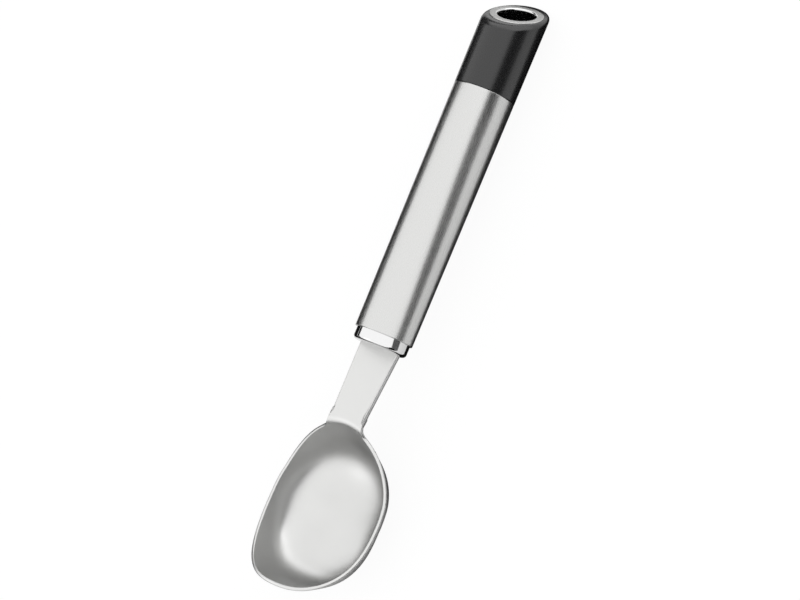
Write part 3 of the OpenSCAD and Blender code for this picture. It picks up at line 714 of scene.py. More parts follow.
def head_shape(head):
    """The whole head, in the tool frame.

    The inner surface is a grid of meridians by steps to the bottom. The outer surface is the
    inner one moved against its normal by the thickness. Rings over the sheet's edge join the
    two, and the neck leaves through a gap in them.
    """
    s = head.s
    edge, left = head.edge()
    right = left + NECK_STEPS
    t = np.linspace(0, 1, WALL_STEPS + 1)
    inner = head.wall(edge, t)
    at_edge = head.wall(edge, [t[1] * FIRST_STEP]) - inner[:1]
    along = np.concatenate([at_edge, inner[2:] - inner[:-2]])
    across = np.roll(inner[:-1], -1, axis=1) - np.roll(inner[:-1], 1, axis=1)
    normal = unit(np.cross(across, along))
    thick = head.thickness(edge, t[:-1])[..., None]
    outer = inner[:-1] - thick * normal
    rim = sheet_edge(head, inner[0], normal[0], thick[0], across[0], left, right)

    # one grid of rings: up the inner surface, over the edge and down the outer surface
    shape = Shape()
    rings = np.concatenate([inner[-2:0:-1], rim, outer[1:]])
    numbers = shape.add(rings)
    rim_at = WALL_STEPS - 1
    whole = np.ones(numbers[:-1].shape, bool)
    whole[rim_at:rim_at + len(rim) - 1, left:right] = False
    shape.quads(numbers, where=whole)
    bottom = np.array([0, 0, head.floor])
    upward = unit(np.array([-FLOOR_CLIMB, 0, 1]))
    poles = shape.add(np.stack([bottom, bottom - s.bowl_t * upward]))
    shape.fan(numbers[0], poles[0])
    shape.fan(numbers[-1], poles[1], flip=True)

    # the gap's outline: up one side, over the top, down the other side and back underneath
    gap = numbers[rim_at:rim_at + len(rim)]
    loop = np.concatenate([gap[::-1, left], gap[0, left + 1:right],
                           gap[:, right], gap[-1, right - 1:left:-1]])
    neck = neck_and_tang(head, shape.points()[loop])
    neck_numbers = np.concatenate([loop[None], shape.add(neck)])
    shape.quads(neck_numbers)
    middle = shape.add(neck[-1].mean(0)[None])
    shape.fan(neck_numbers[-1], middle[0], flip=True)

    # half a turn about Z brings the bowl's frame into the tool's
    shape.blocks = [block * [-1, -1, 1] + [head.centre_x, 0, 0] for block in shape.blocks]
    return shape


# ---------------------------------------------------------------- handle

# Sides of each round piece, and steps of the arcs on the tube's ends, the collar's edge, the
# flange's edge and the eyelet's lip
ROUND = 192
TUBE_EDGE_STEPS = 4
COLLAR_EDGE_STEPS = 8
FLANGE_EDGE_STEPS = 5
LIP_STEPS = 10
# Radius of the flange's outer edge
FLANGE_EDGE_R = 0.2 * MM
# Power that makes the outline of the collar's slot nearly square
SLOT_SQUARE = 24


def tube_shape(handle):
    """The tube: a closed profile of two parallel cones with rounded outer edges, carried once
    round the handle's axis."""
    h, edge, end = handle, handle.tube_edge, handle.tube_len
    low, top = outer_r(h, 0), outer_r(h, end)
    profile = np.concatenate([
        [[inner_r(h, end), end], [inner_r(h, 0), 0]],
        arc((low - edge, edge), edge, -90, 0, TUBE_EDGE_STEPS),
        arc((top - edge, end - edge), edge, 0, 90, TUBE_EDGE_STEPS),
    ])
    return closed_shape(along_handle(revolved(profile, ROUND)))


def slot_outline(a, half_w, half_t):
    """Distance from a slot's middle to its outline in direction a: a near-rectangle, as the
    root of a sum of high powers."""
    c, s = np.abs(np.cos(a)), np.abs(np.sin(a))
    return ((c / half_t) ** SLOT_SQUARE + (s / half_w) ** SLOT_SQUARE) ** (-1 / SLOT_SQUARE)


def collar_shape(handle, sizes):
    """The collar: rings from the slot's front edge over the face, the rounded edge, the plug
    and its bore, and back through the slot. Ring points share one set of directions."""
    h = handle
    a = np.linspace(0, 2 * pi, ROUND, endpoint=False)
    slot_r = slot_outline(a, sizes.tang_w / 2 + h.slot_gap,
                          (sizes.strip_t - sizes.tang_press) / 2 + h.slot_gap)
    tang_z = -sizes.tang_drop
    collar_r = inner_r(h, 0) - h.push_gap
    plug_r = inner_r(h, h.collar_plug_len) - h.push_gap
    bore_r = collar_r - h.collar_skirt_t
    floor_x = h.collar_face_t - h.collar_reach
    front = -h.collar_reach
    edge = arc((collar_r - h.collar_edge_r, front + h.collar_edge_r), h.collar_edge_r, -90, 0,
               COLLAR_EDGE_STEPS)

    def ring(radius, x, middle_z=0.0):
        """Ring of a radius, or of one radius a point, at a place along the handle."""
        r = np.broadcast_to(radius, a.shape)
        return np.stack([np.full_like(a, x), r * np.sin(a), middle_z - r * np.cos(a)], -1)

    rings = [ring(slot_r, front, tang_z)]
    rings += [ring(r, x) for r, x in edge]
    rings += [ring(collar_r, 0.0), ring(plug_r, h.collar_plug_len)]
    rings += [ring(bore_r, h.collar_plug_len), ring(bore_r, floor_x)]
    rings += [ring(slot_r, floor_x, tang_z)]
    return closed_shape(np.stack(rings))


def eyelet_shape(handle):
    """The eyelet: a closed profile of flange, rounded lip and sleeve, round the slanted axis,
    and which of its faces are polished: the lip and the bore."""
    h = handle
    bore, flange, lip = h.eye_bore_d / 2, h.eye_flange_d / 2, h.eye_lip_r
    top, edge = h.eye_proud, FLANGE_EDGE_R
    outer_edge = arc((flange - edge, top - edge), edge, 0, 90, FLANGE_EDGE_STEPS)
    round_lip = arc((bore + lip, top - lip), lip, 90, 180, LIP_STEPS)
    lip_rows = np.arange(len(outer_edge), len(outer_edge) + len(round_lip))
    profile = np.concatenate([
        outer_edge,
        round_lip,
        [[bore, -h.eye_sleeve_len], [bore + h.eye_sleeve_t, -h.eye_sleeve_len]],
        [[bore + h.eye_sleeve_t, top - h.eye_flange_t], [flange, top - h.eye_flange_t]],
    ])
    polished = np.repeat(np.isin(np.arange(len(profile)), lip_rows), ROUND)
    return closed_shape(on_slant(revolved(profile, ROUND), h)), polished


# Steps of the cap: round its slanted edge, along its skin, and from the passage's exit to the
# border of the skin's lower half, which lie closer near the exit by the power RAY_CLOSE
CAP_ROUND = 12
CAP_LONG = 40
RAY_STEPS = CAP_LONG // 2
RAY_CLOSE = 1.5
# Angles at which the passage's exit is first worked out, and rounds that each place takes
EXIT_ANGLES = 1440
EXIT_ROUNDS = 6


def skin(handle, a, depth, inset):
    """Point of the cap's cone at direction a, made smaller by inset, where the slanted plane
    lowered by depth cuts it. On the cone r grows with x, and on the plane x falls with
    r cos(a) tan(slant), so r has one solution."""
    h = handle
    slope = (h.tube_top_d - h.tube_low_d) / 2 / h.tube_len
    x0 = h.tube_len + h.cap_len - depth / cos(h.cap_slant)
    r = (outer_r(h, x0) - inset) / (1 + slope * np.cos(a) * tan(h.cap_slant))
    x = x0 - r * np.cos(a) * tan(h.cap_slant)
    return np.stack([x, r * np.sin(a), r * np.cos(a)], -1)


def on_cone(handle, a, x):
    """Point (x, r sin a, r cos a) of the handle's outer cone, at direction a and place x."""
    r = outer_r(handle, x)
    return np.stack([x, r * np.sin(a), r * np.cos(a)], -1)


def around_and_along(points):
    """Direction round the handle, from 0 to a whole turn, and place along it, of points."""
    return np.stack([np.arctan2(points[:, 1], points[:, 2]) % (2 * pi), points[:, 0]], -1)


def passage_exit(handle, turn):
    """Where the passage's wall leaves the underside, at angles turn round its axis.

    A line of the wall is a point on a circle round the slanted axis moved along it. The
    cone's radius changes little there, so a few rounds of putting the last radius into the
    line's crossing with a cylinder find the place.
    """
    h = handle
    r = h.passage_d / 2
    circle = np.stack([r * np.cos(turn), r * np.sin(turn), np.zeros_like(turn)], -1)
    start = on_slant(circle, h)
    run = np.array([cos(h.cap_slant), 0, sin(h.cap_slant)])
    radius = np.full_like(turn, outer_r(h, h.tube_len))
    for _ in range(EXIT_ROUNDS):
        down = np.sqrt(radius ** 2 - start[:, 1] ** 2)
        step = (-down - start[:, 2]) / run[2]
        at = start + step[:, None] * run
        radius = outer_r(h, at[:, 0])
    return at


def exit_angles(handle, border):
    """Angles round the passage's axis at which its exit lies in the border points' directions.

    Directions are seen from the exit's middle, on the unrolled skin, shortened until the exit
    is as long as it is wide. Each one's angle is read off a finely divided exit.
    """
    h = handle
    fine = np.linspace(0, 2 * pi, EXIT_ANGLES, endpoint=False)
    out = around_and_along(passage_exit(h, fine))
    near, far = out[:, 1].min(), out[:, 1].max()
    middle = np.array([pi, (near + far) / 2])
    scale = np.array([outer_r(h, middle[1]), 1.0])
    stretch = np.array([1.0, h.passage_d / (far - near)])

    def direction(place):
        """Direction of a place on the skin as seen from the exit's middle."""
        v = (place - middle) * scale * stretch
        return np.arctan2(v[:, 1], v[:, 0])

    order = np.argsort(direction(out))
    return np.interp(direction(border), direction(out)[order], np.unwrap(fine[order]))


def add_skin(shape, handle, a):
    """Adds the cap's skin to its shape, and gives what joins on: the numbers of the points
    round the passage's exit, and their angles round its axis.

    The skin is a cone that is cut on the slant. Its upper half is a grid by direction and
    place. Its lower half is a grid of rays from the passage's exit to the half's border, in
    the cone's own directions and places, so that every point lies on the cone.
    """
    h = handle
    half = ROUND // 2
    root_x = h.tube_len + h.cap_break
    edge_x = skin(h, a, h.cap_edge_r, 0.0)[:, 0]
    w = np.linspace(0, 1, CAP_LONG + 1)
    # upper half, from the tube's end to the rounded edge
    up = np.arange(half + 1)
    x_up = mix(root_x, edge_x[up], w[:, None])
    upper = shape.add(on_cone(h, np.broadcast_to(a[up], x_up.shape), x_up))
    shape.quads(upper, close_columns=False)
    # lower half: its border, once round from the root's corner
    low = np.arange(half, ROUND + 1) % ROUND
    a_low = np.linspace(pi / 2, 3 * pi / 2, half + 1)
    root = np.stack([a_low, np.full(half + 1, root_x)], -1)
    rise = np.stack([np.full(CAP_LONG - 1, 3 * pi / 2), mix(root_x, edge_x[0], w[1:-1])], -1)
    face = np.stack([a_low, edge_x[low]], -1)
    fall = np.stack([np.full(CAP_LONG - 1, pi / 2), mix(root_x, edge_x[half], w[1:-1])], -1)
    border = np.concatenate([root, rise, face[::-1], fall[::-1]])
    turn = exit_angles(h, border)
    spread = (np.linspace(0, 1, RAY_STEPS + 1) ** RAY_CLOSE)[:, None, None]
    rays = mix(around_and_along(passage_exit(h, turn)), border, spread)
    lower = shape.add(on_cone(h, rays[..., 0], rays[..., 1]))
    shape.quads(lower)
    return lower[0], turn


def cap_shape(handle):
    """The cap: its skin, then as grids of rings its rounded slanted edge with the eyelet's
    seats, the passage, and the root with the hollow spigot."""
    h = handle
    shape = Shape()
    a = np.linspace(-pi / 2, 3 * pi / 2, ROUND, endpoint=False)
    exit_ring, turn = add_skin(shape, h, a)

    def slant_ring(angles, radius, height):
        """Ring about the slanted axis, at angles round it."""
        flat = np.stack([radius * np.cos(angles), radius * np.sin(angles),
                         np.full_like(angles, height)], -1)
        return on_slant(flat, h)

    # rounded slanted edge, which is the cut lowered by 1 - sin and drawn in by 1 - cos of its
    # radius, then the seats of the flange and the sleeve
    rings = [skin(h, a, h.cap_edge_r * (1 - np.sin(q)), h.cap_edge_r * (1 - np.cos(q)))
             for q in np.linspace(0, pi / 2, CAP_ROUND + 1)]
    seat_r = h.eye_flange_d / 2 + h.push_gap
    sleeve_r = h.eye_bore_d / 2 + h.eye_sleeve_t + h.push_gap
    flange_z, sleeve_z = h.eye_proud - h.eye_flange_t, -h.eye_sleeve_len
    seat = [(seat_r, 0.0), (seat_r, flange_z), (sleeve_r, flange_z), (sleeve_r, sleeve_z)]
    round_a = -(a + pi)
    rings += [slant_ring(round_a, r, z) for r, z in seat]
    top = shape.add(np.stack(rings))
    shape.quads(top)
    # passage, from the sleeve seat's floor down to the exit
    mouth = shape.add(slant_ring(turn, h.passage_d / 2, sleeve_z)[None])
    shape.quads(np.stack([mouth[0], exit_ring]))
    shape.annulus(top[-1], round_a, mouth[0], turn)
    # root ring in to the spigot, its end, its hollow and the hollow's floor, with the rows
    # turned round so that they look outwards
    root_x = h.tube_len + h.cap_break
    spigot_low = h.tube_len - h.cap_spigot_len
    root_r = inner_r(h, h.tube_len) - h.push_gap
    spigot_r = inner_r(h, spigot_low) - h.push_gap
    hollow_r, hollow_x = spigot_r - h.cap_spigot_t, h.tube_len + h.cap_core_depth
    break_r = outer_r(h, h.tube_len) - h.cap_break
    chain = [(outer_r(h, root_x), root_x), (break_r, h.tube_len), (root_r, h.tube_len),
             (spigot_r, spigot_low), (hollow_r, spigot_low), (hollow_r, hollow_x)]
    spigot = shape.add(np.stack([
        np.stack([np.full_like(a, x), r * np.sin(a), r * np.cos(a)], -1) for r, x in chain]))
    shape.quads(spigot[::-1])
    floor = shape.add(np.array([[hollow_x, 0, 0]]))
    shape.fan(spigot[-1], floor[0], flip=True)
    return shape


# ---------------------------------------------------------------- materials

# Most of a noise texture's values lie between these two
NOISE_LOW, NOISE_HIGH = 0.3, 0.7
# Typical refractive indices
ABS_IOR, RUBBER_IOR = 1.54, 1.52


def add_node(tree, kind, settings=None, inputs=None):
    """Adds a node, sets its properties, and sets or links its inputs."""
    node = tree.nodes.new(kind)
    for key, value in (settings or {}).items():
        setattr(node, key, value)
    for key, value in (inputs or {}).items():
        if isinstance(value, bpy.types.NodeSocket):
            tree.links.new(value, node.inputs[key])
        else:
            node.inputs[key].default_value = value
    return node


def new_material(name):
    """A material with no nodes yet, and its node tree."""
    material = bpy.data.materials.new(name)
    material.use_nodes = True
    material.node_tree.nodes.clear()
    return material, material.node_tree


def finish_surface(tree, shader):
    """Joins a shader to the material's output."""
    output = add_node(tree, "ShaderNodeOutputMaterial")
    tree.links.new(shader.outputs[0], output.inputs["Surface"])


def tumbled_steel(finish):
    """Satin stainless steel: stamped, then tumbled in stones.

    Tumbling leaves a fine pebble with no direction, drawn about 0.25 mm wide so that it shows,
    and cloudy changes of gloss some 12 mm across. At a grazing angle the pebbles hide each
    other's far sides, so less light comes back, which the grazing tint stands for.
    """
    pebble_wide, pebble_high, pebble_share = 0.25 * MM, 0.02 * MM, 0.05
    cloud_wide, cloud_gloss, cloud_fine = 12 * MM, 0.03, 0.55
    material, tree = new_material("tumbled_stainless_steel")
    place = add_node(tree, "ShaderNodeTexCoord").outputs["Object"]
    cloud = add_node(tree, "ShaderNodeTexNoise", None, {
        "Vector": place, "Scale": 1 / cloud_wide, "Detail": 3.0, "Roughness": cloud_fine})
    rough = add_node(tree, "ShaderNodeMapRange", None, {
        "Value": cloud.outputs["Fac"], "From Min": NOISE_LOW, "From Max": NOISE_HIGH,
        "To Min": finish.head_rough - cloud_gloss, "To Max": finish.head_rough + cloud_gloss})
    pebble = add_node(tree, "ShaderNodeTexNoise", None, {
        "Vector": place, "Scale": 1 / pebble_wide, "Detail": 2.0})
    bump = add_node(tree, "ShaderNodeBump", None, {
        "Height": pebble.outputs["Fac"], "Strength": pebble_share, "Distance": pebble_high})
    shader = add_node(tree, "ShaderNodeBsdfPrincipled", None, {
        "Base Color": (*finish.head_steel, 1), "Metallic": 1.0,
        "Specular Tint": (*finish.grazing, 1),
        "Roughness": rough.outputs["Result"], "Normal": bump.outputs["Normal"]})
    finish_surface(tree, shader)
    return material


def drawn_steel(finish):
    """Satin stainless tube: drawn, then polished lengthways on a belt.

    The belt leaves hair lines along the tube, some 20 mm long. Real ones lie closer than can
    show, so they are drawn 0.12 mm apart.
    """
    line_apart, line_long, line_high, line_share = 0.12 * MM, 20 * MM, 0.01 * MM, 0.04
    line_gloss = 0.04
    material, tree = new_material("drawn_stainless_steel")
    place = add_node(tree, "ShaderNodeTexCoord").outputs["Object"]
    line_place = add_node(tree, "ShaderNodeMapping", None, {
        "Vector": place, "Scale": (1 / line_long, 1 / line_apart, 1 / line_apart)})
    line = add_node(tree, "ShaderNodeTexNoise", None, {
        "Vector": line_place.outputs["Vector"], "Scale": 1.0, "Detail": 3.0})
    rough = add_node(tree, "ShaderNodeMapRange", None, {
        "Value": line.outputs["Fac"], "From Min": NOISE_LOW, "From Max": NOISE_HIGH,
        "To Min": finish.tube_rough - line_gloss, "To Max": finish.tube_rough + line_gloss})
    bump = add_node(tree, "ShaderNodeBump", None, {
        "Height": line.outputs["Fac"], "Strength": line_share, "Distance": line_high})
    shader = add_node(tree, "ShaderNodeBsdfPrincipled", None, {
        "Base Color": (*finish.tube_steel, 1), "Metallic": 1.0,
        "Roughness": rough.outputs["Result"], "Normal": bump.outputs["Normal"]})
    finish_surface(tree, shader)
    return material


def polished_steel(finish):
    """Polished stainless steel: turned, then buffed, with slight wear in patches of 3 mm."""
    wear_wide, wear_less, wear_more = 3 * MM, 0.02, 0.03
    material, tree = new_material("polished_stainless_steel")
    place = add_node(tree, "ShaderNodeTexCoord").outputs["Object"]
    wear = add_node(tree, "ShaderNodeTexNoise", None, {
        "Vector": place, "Scale": 1 / wear_wide, "Detail": 4.0})
    rough = add_node(tree, "ShaderNodeMapRange", None, {
        "Value": wear.outputs["Fac"], "From Min": NOISE_LOW, "From Max": NOISE_HIGH,
        "To Min": finish.polished_rough - wear_less, "To Max": finish.polished_rough + wear_more})
    shader = add_node(tree, "ShaderNodeBsdfPrincipled", None, {
        "Base Color": (*finish.polished, 1), "Metallic": 1.0, "Roughness": rough.outputs["Result"]})
    finish_surface(tree, shader)
    return material


def moulded_surface(name, colour_rgb, rough_value, peel_wide, ior):
    """Moulded plastic or rubber: smooth, with a faint orange peel of the given width, and
    gloss that changes with it."""
    peel_high, peel_share, peel_gloss = 0.02 * MM, 0.06, 0.03
    material, tree = new_material(name)
    place = add_node(tree, "ShaderNodeTexCoord").outputs["Object"]
    peel = add_node(tree, "ShaderNodeTexNoise", None, {
        "Vector": place, "Scale": 1 / peel_wide, "Detail": 2.0})
    bump = add_node(tree, "ShaderNodeBump", None, {
        "Height": peel.outputs["Fac"], "Strength": peel_share, "Distance": peel_high})
    rough = add_node(tree, "ShaderNodeMapRange", None, {
        "Value": peel.outputs["Fac"], "From Min": NOISE_LOW, "From Max": NOISE_HIGH,
        "To Min": rough_value - peel_gloss, "To Max": rough_value + peel_gloss})
    shader = add_node(tree, "ShaderNodeBsdfPrincipled", None, {
        "Base Color": (*colour_rgb, 1), "Roughness": rough.outputs["Result"],
        "IOR": ior, "Normal": bump.outputs["Normal"]})
    finish_surface(tree, shader)
    return material


def moulded_abs(finish):
    """Glossy black ABS: moulded in a polished tool, with an orange peel 0.6 mm wide."""
    return moulded_surface("moulded_black_abs", finish.plastic, finish.plastic_rough, 0.6 * MM,
                           ABS_IOR)


def moulded_core(finish):
    """Grey ABS of the core: moulded in a plain tool, so duller, with a peel 0.8 mm wide."""
    return moulded_surface("moulded_grey_core", finish.core, finish.core_rough, 0.8 * MM, ABS_IOR)


def moulded_rubber(finish):
    """Nitrile rubber of the sealing rings: dull, with a peel 0.4 mm wide."""
    return moulded_surface("moulded_rubber", finish.rubber, finish.rubber_rough, 0.4 * MM,
                           RUBBER_IOR)


def paper_sweep(stage):
    """White paper under the object.

    The camera sees it white, with a trace of the object's soft shadow. Every other ray, such
    as one off the steel, sees plain diffuse paper in the softbox's light.
    """
    material, tree = new_material("paper_sweep")
    path = add_node(tree, "ShaderNodeLightPath")
    paper = add_node(tree, "ShaderNodeBsdfDiffuse", None, {"Color": (*stage.paper, 1)})
    glow = add_node(tree, "ShaderNodeEmission", None, {"Color": (1, 1, 1, 1), "Strength": 1.0})
    seen = add_node(tree, "ShaderNodeMixShader", None, {"Fac": stage.paper_glow})
    tree.links.new(paper.outputs[0], seen.inputs[1])
    tree.links.new(glow.outputs[0], seen.inputs[2])
    whole = add_node(tree, "ShaderNodeMixShader", None, {"Fac": path.outputs["Is Camera Ray"]})
    tree.links.new(paper.outputs[0], whole.inputs[1])
    tree.links.new(seen.outputs[0], whole.inputs[2])
    finish_surface(tree, whole)
    return material


def card_board(name, colour_rgb):
    """Matt card, which keeps light off one side of the steel; under the object it is painted shadow,
    a dark sheet that the steel mirrors where the object's shade falls.
    """
    material, tree = new_material(name)
    card = add_node(tree, "ShaderNodeBsdfDiffuse", None, {"Color": (*colour_rgb, 1)})
    finish_surface(tree, card)
    return material


# ---------------------------------------------------------------- operators

class SCOOP_OT_head(Operator):
    """Bowl, neck and tang in one stamped sheet"""
    bl_idname = "scoop.head"
    bl_label = "Head"

    def execute(self, context):
        scene = context.scene
        shape = head_shape(Head(scene.scoop_head, scene.scoop_handle))
        require_closed(piece("head", shape, scene.scoop_handle, "scoop_head",
                             [tumbled_steel(scene.scoop_finish)]))
        return {"FINISHED"}


class SCOOP_OT_collar(Operator):
    """Polished plug that closes the tube round the neck"""
    bl_idname = "scoop.collar"
    bl_label = "Collar"

    def execute(self, context):
        scene = context.scene
        shape = collar_shape(scene.scoop_handle, scene.scoop_head)
        weld(piece("tube_collar", shape, scene.scoop_handle, "collar",
                   [polished_steel(scene.scoop_finish)]))
        return {"FINISHED"}


class SCOOP_OT_tube(Operator):
    """Tapered steel tube of the handle"""
    bl_idname = "scoop.tube"
    bl_label = "Tube"

    def execute(self, context):
        scene = context.scene
        shape = tube_shape(scene.scoop_handle)
        weld(piece("tube", shape, scene.scoop_handle, "handle_tube",
                   [drawn_steel(scene.scoop_finish)]))
        return {"FINISHED"}


class SCOOP_OT_cap(Operator):
    """Slanted cap with its spigot and its passage"""
    bl_idname = "scoop.cap"
    bl_label = "End cap"

    def execute(self, context):
        scene = context.scene
        shape = cap_shape(scene.scoop_handle)
        weld(piece("cap", shape, scene.scoop_handle, "end_cap",
                   [moulded_abs(scene.scoop_finish)]))
        return {"FINISHED"}


class SCOOP_OT_eyelet(Operator):
    """Flanged steel sleeve in the slanted face"""
    bl_idname = "scoop.eyelet"
    bl_label = "Hanging eyelet"

    def execute(self, context):
        scene = context.scene
        finish = scene.scoop_finish
        shape, polished = eyelet_shape(scene.scoop_handle)
        weld(piece("eyelet", shape, scene.scoop_handle, "hanging_eyelet",
                   [tumbled_steel(finish), polished_steel(finish)], polished))
        return {"FINISHED"}


class SCOOP_OT_inside(Operator):
    """Finish of the pieces inside the handle, which stay as the frame has them"""
    bl_idname = "scoop.inside"
    bl_label = "Core, pin and seals"

    def execute(self, context):
        finish = context.scene.scoop_finish
        core, rubber, pin = moulded_core(finish), moulded_rubber(finish), polished_steel(finish)
        inside = {"core_upper": core, "core_lower": core, "collar_seal": rubber,
                  "cap_seal": rubber, "tang_pin": pin}
        for node, material in inside.items():
            mesh = frame["nodes"][node].data
            mesh.materials.clear()
            mesh.materials.append(material)
        return {"FINISHED"}


# Half the side of the paper, and height of the cards that lie on it
PAPER_HALF = 4.0
LIFT = 0.1 * MM
# Corners of the hung cards, in millimetres along the object and up from the paper
HANDLE_CARD = ((-32, 3), (83, 23), (83, 80), (-32, 34))
CAP_CARD = ((83, 23), (140, 30), (140, 84), (83, 76))
BOWL_CARD = ((-167, 5), (-34, 5), (-34, 46), (-167, 60))
# Corners of one side of the card under the object, in millimetres along it and out from its
# middle line. This card is painted shadow: the steel mirrors it as the object's shade on the paper.
PAINTED_SHADOW_CARD = ((-108, 12), (-95, 23), (-55, 26), (-40, 17), (-20, 18), (58, 22), (112, 28))
# Nearest and farthest that the camera sees
CLIP_NEAR, CLIP_FAR = 0.01, 50.0


class SCOOP_OT_stage(Operator):
    """White paper, cards, softboxes, room and camera"""
    bl_idname = "scoop.stage"
    bl_label = "Stage"

    def execute(self, context):
        scene = context.scene
        stage = scene.scoop_stage
        self.paper(stage)
        self.cards(stage)
        self.lights(stage)
        self.world(scene, stage)
        self.camera(scene, stage)
        scene.view_settings.view_transform = "Standard"
        return {"FINISHED"}

    def sheet(self, name, corners, material):
        """A flat sheet with the corners, in metres, as part of the stage."""
        mesh = bpy.data.meshes.new(name)
        mesh.from_pydata(corners, [], [range(len(corners))])
        mesh.materials.append(material)
        thing = bpy.data.objects.new(name, mesh)
        bpy.context.scene.collection.objects.link(thing)
        return thing

    def paper(self, stage):
        """The square of paper that the object lies on."""
        half = PAPER_HALF
        corners = [(-half, -half, 0), (half, -half, 0), (half, half, 0), (-half, half, 0)]
        self.sheet("paper", corners, paper_sweep(stage))

    def card(self, name, corners, board):
        """A card that only mirror images show."""
        thing = self.sheet(name, corners, board)
        thing.visible_camera = False
        thing.visible_diffuse = False
        thing.visible_shadow = False

    def cards(self, stage):
        """Three cards hung on the camera's side, beside the handle, the bowl and the cap, one
        that lies on the far side and one under the object, which is painted shadow: the steel
        mirrors it as the object's shade on the paper."""
        black, grey = card_board("black_card_and_painted_shadow", stage.black), card_board("grey_card", stage.grey)
        for name, outline, board in (("handle_card", HANDLE_CARD, grey),
                                     ("bowl_card", BOWL_CARD, black),
                                     ("cap_card", CAP_CARD, black)):
            self.card(name, [(x * MM, -stage.card_away, z * MM) for x, z in outline], board)
        near, far = stage.table_card_from, stage.table_card_to
        lying = [(-far, near, LIFT), (far, near, LIFT), (far, far, LIFT), (-far, far, LIFT)]
        self.card("lying_card", lying, black)
        # painted shadow: a black card under the object that only mirror images show, standing for its
        # shade on the paper
        side = [(x * MM, y * MM, LIFT) for x, y in PAINTED_SHADOW_CARD]
        self.card("painted_shadow_card", side + [(x, -y, z) for x, y, z in side[::-1]], black)

    def lamp(self, name, width, depth, radiance, place, aim):
        """A rectangular lamp whose power gives its face the radiance."""
        lamp = bpy.data.lights.new(name, "AREA")
        lamp.shape = "RECTANGLE"
        lamp.size, lamp.size_y = width, depth
        lamp.energy = radiance * pi * width * depth
        thing = bpy.data.objects.new(name, lamp)
        thing.location = place
        thing.rotation_euler = aim.to_track_quat("-Z", "Y").to_euler()
        thing.visible_camera = False
        bpy.context.scene.collection.objects.link(thing)

    def lights(self, stage):
        """A softbox overhead, which stops short past the cap, a wide one low beyond it, which
        lights the bowl's tip, and a small weak one past the bowl's tip."""
        up = stage.softbox_up
        right, left = up * tan(stage.reach_right), up * tan(stage.reach_left)
        tip, cap = up * tan(stage.reach_tip), up * tan(stage.reach_cap)
        overhead = Vector(((cap - tip) / 2, (left - right) / 2, up))
        self.lamp("softbox", tip + cap, right + left, stage.softbox, overhead, Vector((0, 0, -1)))
        out = self.direction(stage.end_down, stage.end_round)
        self.lamp("end_softbox", stage.end_width, stage.end_depth, stage.end_light,
                  stage.end_away * out, -out)
        out = self.direction(stage.tip_down, stage.tip_round)
        self.lamp("tip_softbox", stage.tip_width, stage.tip_depth, stage.tip_light,
                  stage.tip_away * out, -out)

    def direction(self, down, round_z):
        """Unit vector at an angle down from overhead, in a direction round Z from +X."""
        return Vector((sin(down) * cos(round_z), sin(down) * sin(round_z), cos(down)))

    def world(self, scene, stage):
        """The room's even light, and the white that the camera sees behind everything."""
        world = bpy.data.worlds.new("studio")
        world.use_nodes = True
        tree = world.node_tree
        tree.nodes.clear()
        path = add_node(tree, "ShaderNodeLightPath")
        room = add_node(tree, "ShaderNodeBackground", None, {
            "Color": (*stage.room, 1), "Strength": 1.0})
        white = add_node(tree, "ShaderNodeBackground", None, {
            "Color": (1, 1, 1, 1), "Strength": 1.0})
        both = add_node(tree, "ShaderNodeMixShader", None, {"Fac": path.outputs["Is Camera Ray"]})
        tree.links.new(room.outputs[0], both.inputs[1])
        tree.links.new(white.outputs[0], both.inputs[2])
        output = add_node(tree, "ShaderNodeOutputWorld")
        tree.links.new(both.outputs[0], output.inputs["Surface"])
        scene.world = world

    def camera(self, scene, stage):
        """Places the camera on its line of sight, rolled about it."""
        lens = bpy.data.cameras.new("camera")
        lens.lens = stage.lens
        lens.dof.use_dof = False
        lens.clip_start, lens.clip_end = CLIP_NEAR, CLIP_FAR
        el, az = stage.elevation, stage.azimuth
        back = Vector((cos(el) * cos(az), cos(el) * sin(az), sin(el)))
        level = Vector((0, 0, 1)).cross(back).normalized()
        upright = back.cross(level)
        right = level * cos(stage.roll) + upright * sin(stage.roll)
        up = upright * cos(stage.roll) - level * sin(stage.roll)
        place = Vector(stage.target) + stage.distance * back
        turn = Matrix((right, up, back)).transposed().to_4x4()
        thing = bpy.data.objects.new("camera", lens)
        thing.matrix_world = Matrix.Translation(place) @ turn
        scene.collection.objects.link(thing)
        scene.camera = thing


GROUPS = {"scoop_head": ScoopHeadSizes, "scoop_handle": ScoopHandleSizes,
          "scoop_finish": ScoopFinish, "scoop_stage": ScoopStage}
OPERATORS = (SCOOP_OT_head, SCOOP_OT_collar, SCOOP_OT_tube, SCOOP_OT_cap, SCOOP_OT_eyelet,
             SCOOP_OT_inside, SCOOP_OT_stage)


class SCOOP_PT_panel(Panel):
    """Pieces of the scoop"""
    bl_idname = "SCOOP_PT_panel"
    bl_label = "Scoop"
    bl_space_type = "VIEW_3D"
    bl_region_type = "UI"
    bl_category = "Scoop"

    def draw(self, context):
        """Lists the operators, and a box of settings for each group."""
        for operator in OPERATORS:
            self.layout.operator(operator.bl_idname)
        for name in GROUPS:
            box = self.layout.box()
            settings = getattr(context.scene, name)
            for key in settings.__annotations__:
                box.prop(settings, key)


def register():
    """Registers the property groups, the operators and the panel."""
    for name, group in GROUPS.items():
        bpy.utils.register_class(group)
        setattr(bpy.types.Scene, name, PointerProperty(type=group))
    for operator in OPERATORS:
        bpy.utils.register_class(operator)
    bpy.utils.register_class(SCOOP_PT_panel)


def unregister():
    """Undoes register, last first."""
    bpy.utils.unregister_class(SCOOP_PT_panel)
    for operator in reversed(OPERATORS):
        bpy.utils.unregister_class(operator)
    for name, group in reversed(GROUPS.items()):
        delattr(bpy.types.Scene, name)
        bpy.utils.unregister_class(group)


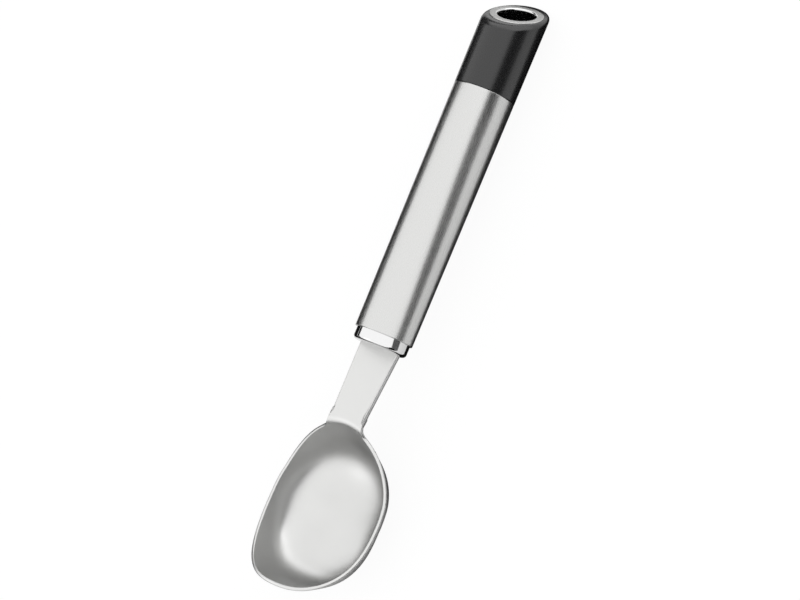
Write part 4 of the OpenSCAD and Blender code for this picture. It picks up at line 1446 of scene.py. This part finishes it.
def main():
    """Builds the whole scene."""
    register()
    bpy.ops.scoop.stage()
    bpy.ops.scoop.head()
    bpy.ops.scoop.collar()
    bpy.ops.scoop.tube()
    bpy.ops.scoop.cap()
    bpy.ops.scoop.eyelet()
    bpy.ops.scoop.inside()


if __name__ == "__main__":
    main()
